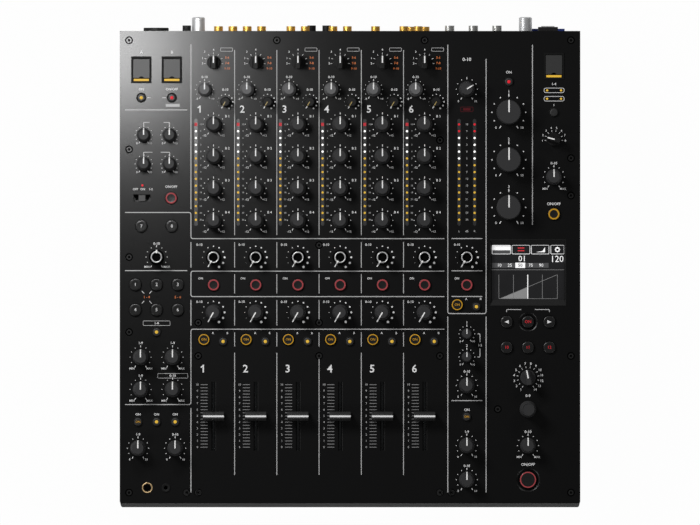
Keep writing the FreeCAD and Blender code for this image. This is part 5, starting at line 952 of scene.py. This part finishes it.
# Felt, as in the fader slots, swallows nearly all light, so it draws this painted shade and the filter caps
# too.
felt_and_shade = surface("pressed_felt_black_and_painted_shade", "#030303", "#060606", 0.6, (0.9, 0.98), 0.02, shine=0.05)
WELL_RADIUS, HEAD_RADIUS, HEAD_EDGE, HEAD_SINK = 3.8, 3.1, 0.6, 0.3
DRIVE_OUTER, DRIVE_INNER, DRIVE_DEPTH, SHADE_SINK, FILM = 1.45, 1.15, 0.6, 0.5, 0.02
over_head = -HEAD_SINK + FILM
# Painted shade: a dead black ring in the gap round each head, and a dark cone in its hexagon.
washer = turned("washer", [
    (WELL_RADIUS - FILM, -SHADE_SINK), (HEAD_RADIUS + FILM, -SHADE_SINK),
    (HEAD_RADIUS + FILM, over_head), (HEAD_RADIUS - HEAD_EDGE, over_head)], 32)
drive_shade = turned("drive_shade", [
    (DRIVE_OUTER, over_head), (DRIVE_INNER, over_head), (0, -HEAD_SINK - DRIVE_DEPTH)], 6)
screw_node = frame["nodes"]["panel_screws"]
screws = []
for vertex in screw_node.data.vertices:
    place = (screw_node.matrix_world @ vertex.co).xy * PER_METRE
    near = [screw for screw in screws if (screw[0] - place).length < 3 * HEAD_RADIUS]
    if near:
        near[0].append(place)
    else:
        screws.append([place])
screw_places = []
for screw in screws:
    x_values, y_values = zip(*screw)
    x_middle, y_middle = (min(x_values) + max(x_values)) / 2, (min(y_values) + max(y_values)) / 2
    screw_places.append((x_middle - panel_low.x, panel_high.y - y_middle, 0))
piece("screw_wells", [planted(screw_places, shape, felt_and_shade) for shape in (washer, drive_shade)], "mixer_body")

# Knobs: moulded caps pressed on shafts, each kind with its own skirt and flutes. The grips have a matt
# soft-touch coat in dark grey, black or pale grey, the pointers are white or gold inlays, and the dead
# black filter caps carry a silver lacquered ring.
soft_touch = surface(
    "soft_touch_coated_abs_dark_grey", "#333334", "#3b3b3c", 0.35, (0.66, 0.76), 0.006, shine=0.25)
soft_black = surface("soft_touch_coated_abs_black", "#131313", "#191919", 0.35, (0.6, 0.7), 0.006, shine=0.2)
pale_grip = surface(
    "soft_touch_coated_abs_pale_grey", "#676768", "#717172", 0.35, (0.66, 0.76), 0.006, shine=0.25)
# The white inlay glows faintly of its own: painted light that keeps the pointers bright.
white_inlay = surface("moulded_abs_white", "#f0f0ee", "#f8f8f6", 0.6, (0.4, 0.5), 0.003, strength=0.2)
gold_inlay = surface("moulded_abs_gold", "#b9a05c", "#c8b06c", 0.6, (0.35, 0.45), 0.003)
silver_lacquer = surface("satin_silver_lacquered_abs", "#d6d6d6", "#e6e6e6", 2, (0.32, 0.4), 0.001, metal=0.3)
KNOB_GAP, SHAFT_RADIUS, SHAFT_DEPTH, FLUTE_DEPTH = 1.0, 3.0, 10.0, 0.3
SHAFT = [(0, -SHAFT_DEPTH), (SHAFT_RADIUS, -SHAFT_DEPTH), (SHAFT_RADIUS, KNOB_GAP)]


def grip(name, base, neck, top, height, flutes, dish=0.0, dish_radius=0.0):
    """A cap with a flared skirt and a fluted grip."""
    foot, head, flare = KNOB_GAP, KNOB_GAP + height, base - neck
    profile = SHAFT + [
        (base - 0.2, foot), (base, foot + 0.2), (base, foot + 0.5), (neck + flare * 0.66, foot + 1.3),
        (neck + flare * 0.25, foot + 2.9), (neck, foot + 4.5, 0.6), (neck - 0.05, foot + 5.0, 1),
        (top + 0.15, head - 1.0, 1), (top, head - 0.35, 0.6), (top - 0.4, head)]
    if dish:
        profile += [(dish_radius, head), (dish_radius - 0.25, head - dish)]
    profile.append((0, head - dish))
    return turned(name, profile, max(36, flutes * 4), flutes, FLUTE_DEPTH, sharp_angle=40)


def inlay(name, path, width):
    """A pointer let into a cap: a strip along (distance, height) rows, facing the dial's top."""
    points = [(side * width / 2, reach, height) for reach, height in path for side in both_sides]
    faces = [(2 * row, 2 * row + 1, 2 * row + 3, 2 * row + 2) for row in range(len(path) - 1)]
    return master_shape(name, new_mesh(name, points, faces))


def pointer(name, base, neck, top, height, width=1.15, start=0.0):
    """A pointer from the cap's middle over its edge and down the grip to the skirt."""
    foot, head, flare = KNOB_GAP, KNOB_GAP + height, base - neck
    return inlay(name, [
        (start, head + 0.06), (top - 0.3, head + 0.06), (top + 0.12, head - 0.6), (neck + 0.1, foot + 4.6),
        (neck + flare * 0.25 + 0.1, foot + 3.0), (neck + flare * 0.62 + 0.1, foot + 1.5)], width)


def ring_faces(count, levels):
    """Faces between rings of points, one ring above another."""
    faces = []
    for first in range(0, levels * count, count):
        for index in range(count):
            after = (index + 1) % count
            faces.append((first + index, first + after, first + count + after, first + count + index))
    return faces


def faced_outwards(mesh):
    """A mesh opened for editing, with its faces turned outwards."""
    shell = bmesh.new()
    shell.from_mesh(mesh)
    bmesh.ops.recalc_face_normals(shell, faces=shell.faces)
    return shell


def ridge(name, base, height):
    """A round foot with a ridge to hold across it, tapering to its top."""
    foot, waist, head = KNOB_GAP, KNOB_GAP + 3.5, KNOB_GAP + height
    disc = turned(name + "_foot", SHAFT + [
        (base, foot), (base, waist - 0.5), (base - 0.5, waist), (0, waist)]).data
    half_foot, half_top, rows = 3.4, 2.2, 9
    points = []
    for level, half, share in (
        (waist - 0.4, half_foot, 1), (head - 0.5, half_top + 0.05, 1), (head, half_top - 0.45, 0.96),
    ):
        reach = math.sqrt((base - 0.06) ** 2 - half ** 2) * share
        for side in both_sides:
            for row in range(rows):
                points.append((side * half, side * (-1 + 2 * row / (rows - 1)) * reach, level))
    ring = 2 * rows
    faces = ring_faces(ring, 2) + [tuple(range(2 * ring, 3 * ring))]
    both = faced_outwards(new_mesh("ridge", points, faces))
    both.from_mesh(disc)
    mesh = bpy.data.meshes.new(name)
    both.to_mesh(mesh)
    both.free()
    return master_shape(name, mesh)


def ridge_pointer(name, base, height):
    """A pointer along a ridge's top and down its end."""
    head, reach = KNOB_GAP + height, base - 0.4
    return inlay(name, [
        (-0.6, head + 0.05), (reach - 0.3, head + 0.05), (reach + 0.1, head - 0.5),
        (base + 0.08, KNOB_GAP + 4)], 1.2)


# Each fluted knob's radius at the foot, neck and top, and its height; each ridged one's radius and height.
MEDIUM, TRIM, COMP = (7.6, 7.4, 5.7, 15), (6.8, 6.6, 4.8, 14), (5.0, 4.6, 4.3, 12)
ISOLATOR_CAP, TIME_CAP = (12, 11.7, 11.2, 17.9), (8.1, 6.9, 6.4, 15)
SELECTOR, EFFECT_SELECTOR = (6.4, 13), (7.35, 14)
FILTER_BASE, FILTER_NECK, FILTER_TOP, FILTER_HEIGHT = 7.4, 6.1, 5.8, 14
RING_MIDDLE, RING_HALF, RING_RISE, RING_STEPS = 4.9, 0.62, 0.8, 8
ring_foot = KNOB_GAP + FILTER_HEIGHT - RING_RISE
ring_turns = [math.pi * step / RING_STEPS for step in range(RING_STEPS + 1)]
silver_ring = turned("silver_ring", [
    (RING_MIDDLE + RING_HALF * math.cos(turn), ring_foot + RING_RISE * math.sin(turn))
    for turn in ring_turns])
filter_grip = grip(
    "filter", FILTER_BASE, FILTER_NECK, FILTER_TOP, FILTER_HEIGHT - RING_RISE, 12, dish=1.6, dish_radius=4.0)
filter_pointer = pointer(
    "filter_pointer", FILTER_BASE, FILTER_NECK + 0.3, FILTER_TOP, FILTER_HEIGHT, width=1.5, start=3.8)
trim_grip, trim_pointer = grip("small", *TRIM, 12), pointer("small_pointer", *TRIM)
comp_grip, comp_pointer = grip("mini", *COMP, 10), pointer("mini_pointer", *COMP, 0.8)
kinds = {
    "medium": [(grip("medium", *MEDIUM, 12), soft_touch), (pointer("medium_pointer", *MEDIUM), white_inlay)],
    "trim": [(trim_grip, pale_grip), (trim_pointer, white_inlay)],
    "mic": [(trim_grip, soft_touch), (trim_pointer, white_inlay)],
    "comp": [(comp_grip, soft_black), (comp_pointer, gold_inlay)],
    "booth tone": [(comp_grip, soft_touch), (comp_pointer, white_inlay)],
    "isolator": [
        (grip("isolator", *ISOLATOR_CAP, 24), soft_touch),
        (pointer("isolator_pointer", *ISOLATOR_CAP, 1.3), white_inlay)],
    "time": [(grip("time", *TIME_CAP, 20, dish=0.4, dish_radius=5.4), soft_touch)],
    "filter": [(filter_grip, felt_and_shade), (silver_ring, silver_lacquer), (filter_pointer, white_inlay)],
    "selector": [
        (ridge("selector", *SELECTOR), soft_black),
        (ridge_pointer("selector_pointer", *SELECTOR), white_inlay)],
    "effect selector": [
        (ridge("effect_selector", *EFFECT_SELECTOR), soft_touch),
        (ridge_pointer("effect_pointer", *EFFECT_SELECTOR), white_inlay)],
}

# Push buttons: moulded caps over switches on the board. The plain ones are glossy black; cue and assign
# caps have a clear ring that glows round a dark middle; the small charcoal ones hold a lamp and stand in
# a black bezel.
gloss_black = surface("moulded_abs_black_gloss", "#1c1c1c", "#232323", 0.8, (0.3, 0.36), 0.001)
lamp_cap_plastic = surface(
    "moulded_abs_charcoal_satin", "#2e2e2e", "#363636", 0.6, (0.5, 0.58), 0.002, shine=0.25)
red_ring_light = lit("diffused_ring_red", "#9c4044", 0.35)
amber_ring_light = lit("diffused_ring_amber", "#b88a20", 0.4)
amber_ink = lit("screen_ink_amber_lit", "#c8962a", 0.4)
red_mark = lit("screen_ink_red_lit", "#c02c34", 0.5)
BUTTON_PROUD, BUTTON_DEPTH, BUTTON_SIDES = 2.2, 5.0, 32


def cap(name, radius, dome=0.0):
    """A button cap with a rounded edge, through the panel."""
    top = BUTTON_PROUD
    return turned(name, [
        (0, -BUTTON_DEPTH), (radius, -BUTTON_DEPTH), (radius, top - 0.95), (radius - 0.12, top - 0.5),
        (radius - 0.4, top - 0.16), (radius - 0.9, top), (radius * 0.6, top + dome - 0.25),
        (radius * 0.3, top + dome - 0.3), (0, top + dome - 0.3)], BUTTON_SIDES)


def band(name, inner, outer, level, crown=0.12):
    """A clear ring let into a cap."""
    middle = (inner + outer) / 2
    return turned(name, [
        (outer, level - 0.4), (outer, level), (middle + 0.2, level + crown), (middle - 0.2, level + crown),
        (inner, level), (inner, level - 0.4)], BUTTON_SIDES)


def lens(name, radius, level):
    """A low clear dome over a lamp."""
    return turned(name, [
        (radius, level - 0.3), (radius, level), (radius * 0.7, level + 0.25), (0, level + 0.35)], 20)


RING_CAP, CUE_CAP, LAMP_CAP, EFFECT_CAP, ROUND_CAP = 5.8, 5.6, 3.9, 8.2, 5.9
RING_BAND, CUE_BAND, EFFECT_BAND, LENS_RADIUS = (4.0, 5.35), (4.2, 5.2), (6.5, 7.7), 1.6
LAMP_DOME, EFFECT_DOME, ROUND_DOME, LENS_LIFT, EFFECT_SINK = 0.35, 0.1, 0.15, 0.1, 0.1
BAND_LEVEL = BUTTON_PROUD - 0.12
ring_cap, ring_band = cap("ring_cap", RING_CAP), band("ring_band", *RING_BAND, BAND_LEVEL)
cue_cap, cue_band = cap("cue_cap", CUE_CAP), band("cue_band", *CUE_BAND, BAND_LEVEL)
lamp_cap = cap("lamp_cap", LAMP_CAP, LAMP_DOME)
lamp_lens = lens("lamp_lens", LENS_RADIUS, BUTTON_PROUD + LENS_LIFT)
effect_cap = cap("effect_cap", EFFECT_CAP, EFFECT_DOME)
effect_band = band("effect_band", *EFFECT_BAND, BUTTON_PROUD - EFFECT_SINK)
kinds.update({
    "red ring": [(ring_cap, gloss_black), (ring_band, red_ring_light)],
    "amber ring": [(ring_cap, gloss_black), (ring_band, amber_ring_light)],
    "cue": [(cue_cap, gloss_black), (cue_band, amber_ring_light)],
    "amber lamp": [(lamp_cap, lamp_cap_plastic), (lamp_lens, amber_lamp)],
    "red lamp": [(lamp_cap, lamp_cap_plastic), (lamp_lens, red_lamp)],
    "dark lamp": [(lamp_cap, lamp_cap_plastic)],
    "round": [(cap("round_cap", ROUND_CAP, ROUND_DOME), gloss_black)],
    "tap": [(cap("tap_cap", ROUND_CAP, ROUND_DOME), gloss_black)],
    "effect on": [(effect_cap, gloss_black), (effect_band, red_ring_light)],
})
CAP_LEVEL = PANEL_TOP + BUTTON_PROUD + 0.04
DOME_LEVEL, LAMP_LEVEL = CAP_LEVEL + 0.1, PANEL_TOP + BUTTON_PROUD + 0.3
ARROW_HALF_LENGTH, ARROW_HALF_WIDTH = 2.0, 1.7
CUE_MARK, SEND_MARK, PASS_MARK, BAND_MARK = 2.2, 3.2, 3.0, 2.8
cue_marks = [("ON", column - CUE_SHIFT, CUE_ROW, CUE_MARK) for column in STRIPS]
cue_marks.append(("ON", MASTER - CUE_SHIFT, MASTER_CUE_ROW, CUE_MARK))
send_marks = [
    (str(number + 1 + 3 * line), LEFT + (number - 1) * SEND_BUTTON_HALF, back, SEND_MARK)
    for line, back in enumerate(SEND_BUTTON_ROWS) for number in range(3)]
send_marks += ends("7", "8", LEFT, PASS_ROW, USB_HALF, USB_HALF, PASS_MARK)
band_marks = [(str(11 + step), EFFECT + step * EFFECT_STEP, BAND_ROW, BAND_MARK) for step in (-1, 0, 1)]
link_marks = [("ON", LEFT - PHONES_HALF, PHONES_BUTTON_ROW, SMALL), ("ON", MASTER, LINK_ROW, SMALL)]
arrows = []
for side in both_sides:
    tip, tail = (EFFECT + side * (EFFECT_STEP + way * ARROW_HALF_LENGTH) for way in (1, -1))
    arrows.append(patch([
        (tail, TAP_ROW - side * ARROW_HALF_WIDTH), (tail, TAP_ROW + side * ARROW_HALF_WIDTH),
        (tip, TAP_ROW)], white_ink, DOME_LEVEL))
marks = {
    "cue_buttons": [lettering(cue_marks, amber_ink, CAP_LEVEL)],
    "round_buttons": [
        lettering(send_marks, white_ink, DOME_LEVEL), lettering(band_marks, red_mark, DOME_LEVEL), *arrows],
    "tap_button": [lettering([("ON", EFFECT, TAP_ROW, BAND_MARK)], red_mark, DOME_LEVEL)],
    "lamp_buttons": [lettering(link_marks, amber_ink, LAMP_LEVEL)],
}
BEZEL_INNER, BEZEL_OUTER, BEZEL_RISE = 4.0, 4.9, 0.6
lamp_bezel = turned("lamp_bezel", [
    (BEZEL_OUTER, 0), (BEZEL_OUTER - 0.1, BEZEL_RISE * 0.5), (BEZEL_OUTER - 0.45, BEZEL_RISE),
    (BEZEL_INNER + 0.15, BEZEL_RISE - 0.1), (BEZEL_INNER, BEZEL_RISE - 0.4),
    (BEZEL_INNER, -0.4)], BUTTON_SIDES)
bezel_places = [stand[1:] for stand in controls["lamp_buttons"]]
piece("lamp_button_bezels", [planted(bezel_places, lamp_bezel, soft_black)], "mixer_body")
bodies = frame["record"]["behaviour"]["bodies"]
body_of = {node: body for body, members in bodies.items() for node in members}
for owner, stands in controls.items():
    meshes = []
    for kind in dict.fromkeys(stand[0] for stand in stands):
        places = [stand[1:] for stand in stands if stand[0] == kind]
        meshes += [planted(places, shape, material) for shape, material in kinds[kind]]
    piece(owner + "_caps", meshes + marks.get(owner, []), body_of[owner], owner)

# Faders: a dark moulded cap with a bright white line, pressed on a zinc-plated lever that runs in the
# panel's slot. Black felt closes the slot on both sides, and a paler grey strip lies along its right side.
fader_plastic = surface("moulded_abs_black_fader", "#343434", "#3c3c3c", 0.5, (0.4, 0.5), 0.004)
# The white line glows faintly of its own: painted light that keeps it bright.
bright_line = surface("moulded_abs_bright_white", "#f4f4f4", "#fafafa", 0.6, (0.3, 0.4), 0.002, strength=0.1)
right_slot_strip = surface("slot_right_strip_grey", "#2a2a2a", "#303030", 0.6, (0.5, 0.6), 0.003)
CAP_HALF, CAP_HALF_DEPTH, CAP_HEIGHT, CAP_GAP, CAP_EDGE, CAP_ROUND = 10.3, 4.3, 11.0, 1.5, 0.4, 0.35
LINE_HALF, LINE_INSET, LINE_SINK = 0.85, 0.2, 0.05
LEVER_HALF_THICK, LEVER_HALF_WIDTH, LEVER_DEPTH, LEVER_GRIP = 0.6, 2.25, 12.0, 0.2
fader_foot, fader_head = CAP_GAP, CAP_GAP + CAP_HEIGHT
cap_side = [
    (-CAP_HALF_DEPTH, fader_foot), (CAP_HALF_DEPTH, fader_foot), (CAP_HALF_DEPTH, fader_foot + 2.6),
    (4.05, fader_foot + 3.1), (3.75, fader_foot + 4.6), (3.75, fader_foot + 4.9), (3.2, fader_head - 3.1),
    (3.2, fader_head - 2.8), (2.3, fader_head - 0.25), (2.05, fader_head), (1.0, fader_head),
    (0.85, fader_head - 0.3)]
cap_outline = cap_side + [(-y, z) for y, z in reversed(cap_side[2:])]
cap_points = []
for x, inset in (
    (-CAP_HALF, CAP_ROUND), (-CAP_HALF + CAP_EDGE, 0), (CAP_HALF - CAP_EDGE, 0), (CAP_HALF, CAP_ROUND),
):
    cap_points += [(x, y * (1 - inset / 5), z - (inset if z > fader_foot + 1 else 0)) for y, z in cap_outline]
ring = len(cap_outline)
cap_faces = ring_faces(ring, 3) + [tuple(range(ring))[::-1], tuple(range(3 * ring, 4 * ring))]
fader_cap_mesh = new_mesh("fader_cap", cap_points, cap_faces)
fader_shell = faced_outwards(fader_cap_mesh)
fader_shell.to_mesh(fader_cap_mesh)
fader_shell.free()
fader_cap = master_shape("fader_cap", fader_cap_mesh)
fader_line = flat_shape("fader_line", oblong(CAP_HALF - LINE_INSET, LINE_HALF, fader_head - LINE_SINK))
lever_points = oblong(LEVER_HALF_THICK, LEVER_HALF_WIDTH, -LEVER_DEPTH)
lever_points += oblong(LEVER_HALF_THICK, LEVER_HALF_WIDTH, CAP_GAP + LEVER_GRIP)
lever = master_shape("fader_lever", new_mesh(
    "fader_lever", lever_points, ring_faces(4, 1) + [(3, 2, 1, 0), (4, 5, 6, 7)]))
SLOT_HALF, FELT_HALF, SLOT_REAR, SLOT_FRONT, EDGE_WIDTH = 1.15, 2.0, 338.9, 405.6, 0.3
slot_trim = []
for column in STRIPS:
    for inner, outer, finish in (
        (-FELT_HALF, -SLOT_HALF, felt_and_shade), (SLOT_HALF, FELT_HALF, felt_and_shade),
        (FELT_HALF, FELT_HALF + EDGE_WIDTH, right_slot_strip),
    ):
        corners = block(column + inner, SLOT_REAR, column + outer, SLOT_FRONT)
        slot_trim.append(patch(corners, finish, PRINT_LEVEL))
piece("fader_slot_trim", slot_trim, "mixer_body")
for number, column in enumerate(STRIPS):
    name = f"channel_{number + 1}_fader"
    stand = [(column, FADER_ROW, 0)]
    fader_parts = ((fader_cap, fader_plastic), (fader_line, bright_line), (lever, zinc_plate))
    piece(name + "_cap", [planted(stand, shape, material) for shape, material in fader_parts], name, name)

# Microphone slide switch: a small handle moulded in the faders' dark plastic, on a slide switch that is
# soldered to the board under the panel's slot.
paint(fader_plastic, "mic_switch_slider")

# Headphone sockets: a gold-plated brass ring with a dark bore, and a smaller black moulded socket beside
# it, both let into the panel's front left corner. The gold is pale with wear, and its rim is rounded.
pale_gold = surface("gold_plated_brass_worn", "#d6b684", "#e0c496", 1.5, (0.42, 0.5), 0.0002, metal=0.5)
large_socket = turned("large_socket", [
    (5.0, -3), (5.2, 0), (5.15, 0.5), (4.95, 0.85), (4.6, 1.0), (4.25, 0.85), (4.0, 0.5), (3.9, 0),
    (3.9, -2)])
socket_floor = turned("socket_floor", [
    (0, -20), (4.8, -20), (4.8, -2), (3.2, -1.9), (3.15, -14), (0, -14)], 32)
small_socket = turned("small_socket", [
    (0, -18), (4.0, -18), (4.2, 0), (4.2, 0.7), (3.9, 1.0), (2.6, 1.0), (1.9, 0.6), (1.8, -12), (0, -12)], 32)
large_place, small_place = ([(LEFT + side * JACK_HALF, JACK_ROW, 0)] for side in both_sides)
piece("headphone_socket_rings", [
    planted(large_place, large_socket, pale_gold), planted(large_place, socket_floor, gloss_black),
    planted(small_place, small_socket, soft_black)], "mixer_body", "headphone_jacks")

# Rear fittings, fixed on the rear panel: gold-plated phono sockets, nickel jack sockets, black
# microphone sockets and ground terminals, two bright turned guard posts, and the mains inlet, blue below
# and black above, with its glossy rocker. The plating is rough enough to shade softly, without mirrors.
gold_plate = surface("gold_plated_brass", "#c8963c", "#dcb055", 1.5, (0.42, 0.5), 0.0002, metal=0.6)
nickel = surface("nickel_plated_brass", "#a9a9a6", "#bdbdba", 1.5, (0.42, 0.5), 0.0002, metal=0.6)
bright_aluminium = surface(
    "turned_aluminium_bright", "#c9cacb", "#d8d9da", 0.5, (0.45, 0.52), 0.0004, metal=0.5, stretch=(1, 6, 1))
paint(gold_plate, "rca_jacks")
paint(nickel, "trs_jacks")
paint(soft_black, "xlr_jacks", "ground_terminals")
paint(gloss_black, "mains_switch_rocker")
paint(bright_aluminium, "guard_posts")
INLET_SPLIT = 48 / PER_METRE
inlet_plastic = surface("moulded_nylon_blue_and_black", "#111111", "#171717", 0.6, (0.4, 0.5), 0.004)
tree = inlet_plastic.node_tree
height = add(tree, "ShaderNodeSeparateXYZ", {"Vector": tree.nodes["Texture Coordinate"].outputs["Object"]})
above = add(tree, "ShaderNodeMath", {0: height.outputs["Z"], 1: INLET_SPLIT}, operation="GREATER_THAN")
two_colours = add(tree, "ShaderNodeMix", {
    "Factor": above.outputs[0], 6: linear("#20357c"), 7: tree.nodes["Color Ramp"].outputs["Color"]},
    data_type="RGBA")
tree.links.new(two_colours.outputs[2], tree.nodes["Principled BSDF"].inputs["Base Color"])
paint(inlet_plastic, "mains_inlet")

# The shapes that the trees repeated aren't pieces, and go.
for shape in [thing for thing in bpy.data.objects if thing.name not in bpy.context.scene.objects]:
    bpy.data.objects.remove(shape)

# Floor: matt white paper, which shows white to the camera and in reflections, and keeps a trace of the
# mixer's shadow.
WHITE_SHARE, FLOOR_HALF = 0.98, 4.0
floor_material = bpy.data.materials.new("paper_floor_white")
floor_material.use_nodes = True
tree = floor_material.node_tree
tree.nodes.clear()
paper = add(tree, "ShaderNodeBsdfDiffuse", {"Color": linear("#d8d8d8")})
white = add(tree, "ShaderNodeEmission", {"Color": linear("#ffffff"), "Strength": 1})
path = add(tree, "ShaderNodeLightPath").outputs
seen = add(tree, "ShaderNodeMath", {0: path["Is Camera Ray"], 1: path["Is Glossy Ray"]}, operation="MAXIMUM")
seen_any = add(tree, "ShaderNodeMath", {
    0: seen.outputs[0], 1: path["Is Transmission Ray"]}, operation="MAXIMUM")
white_share = add(tree, "ShaderNodeMath", {0: seen_any.outputs[0], 1: WHITE_SHARE}, operation="MULTIPLY")
floor_mix = add(tree, "ShaderNodeMixShader", {
    0: white_share.outputs[0], 1: paper.outputs[0], 2: white.outputs[0]})
add(tree, "ShaderNodeOutputMaterial", {"Surface": floor_mix.outputs[0]})
floor = bpy.data.objects.new("floor", inked(
    new_mesh("floor", oblong(FLOOR_HALF, FLOOR_HALF), [range(4)]), floor_material))
bpy.context.scene.collection.objects.link(floor)

# Light: a dim even room, four soft lamps round the mixer, strongest at the rear left, for the shadows,
# and a small one over the rear left corner, for reflections only, whose glare spreads across the panel.
ROOM_LEVEL = 0.05
world = bpy.data.worlds.new("room")
bpy.context.scene.world = world
world.use_nodes = True
room = world.node_tree.nodes["Background"].inputs
room["Color"].default_value = linear("#ffffff")
room["Strength"].default_value = ROOM_LEVEL


def lamp(name, place, aim, size, power):
    """A round soft lamp that points at a place and isn't seen itself."""
    light = bpy.data.lights.new(name, "AREA")
    light.shape = "DISK"
    light.size = size
    light.energy = power
    thing = bpy.data.objects.new(name, light)
    thing.location = place
    thing.rotation_euler = (Vector(aim) - Vector(place)).to_track_quat("-Z", "Y").to_euler()
    thing.visible_camera = False
    bpy.context.scene.collection.objects.link(thing)
    return thing


PANEL_METRES = PANEL_TOP / PER_METRE
GLARE_OUT, GLARE_IN, GLARE_HEIGHT, GLARE_SIZE, GLARE_POWER = 16, 2, 0.30, 0.13, 1.8
SIDE_REACH, SIDE_HEIGHT, SIDE_SIZE = 1.5, 1.8, 0.9
SIDE_WATTS = {(-1, 1): 42, (1, 1): 9, (-1, -1): 11, (1, -1): 5}
corner = ((panel_low.x - GLARE_OUT) / PER_METRE, (panel_high.y - GLARE_IN) / PER_METRE)
glare = lamp(
    "corner_lamp", (*corner, PANEL_METRES + GLARE_HEIGHT), (*corner, PANEL_METRES), GLARE_SIZE, GLARE_POWER)
glare.visible_diffuse = False
for (x_side, y_side), power in SIDE_WATTS.items():
    place = (x_side * SIDE_REACH, y_side * SIDE_REACH, SIDE_HEIGHT)
    lamp("side_lamp", place, (0, 0, PANEL_METRES), SIDE_SIZE, power)

# Camera: straight above the panel's middle, far enough away that the knobs hardly lean outwards.
CAMERA_HEIGHT, VIEW_WIDTH = 16.0, 0.6764
camera_data = bpy.data.cameras.new("camera")
camera = bpy.data.objects.new("camera", camera_data)
bpy.context.scene.collection.objects.link(camera)
bpy.context.scene.camera = camera
camera.location = (0, 0, PANEL_METRES + CAMERA_HEIGHT)
camera_data.lens = camera_data.sensor_width * CAMERA_HEIGHT / VIEW_WIDTH
bpy.context.scene.view_settings.view_transform = "Standard"
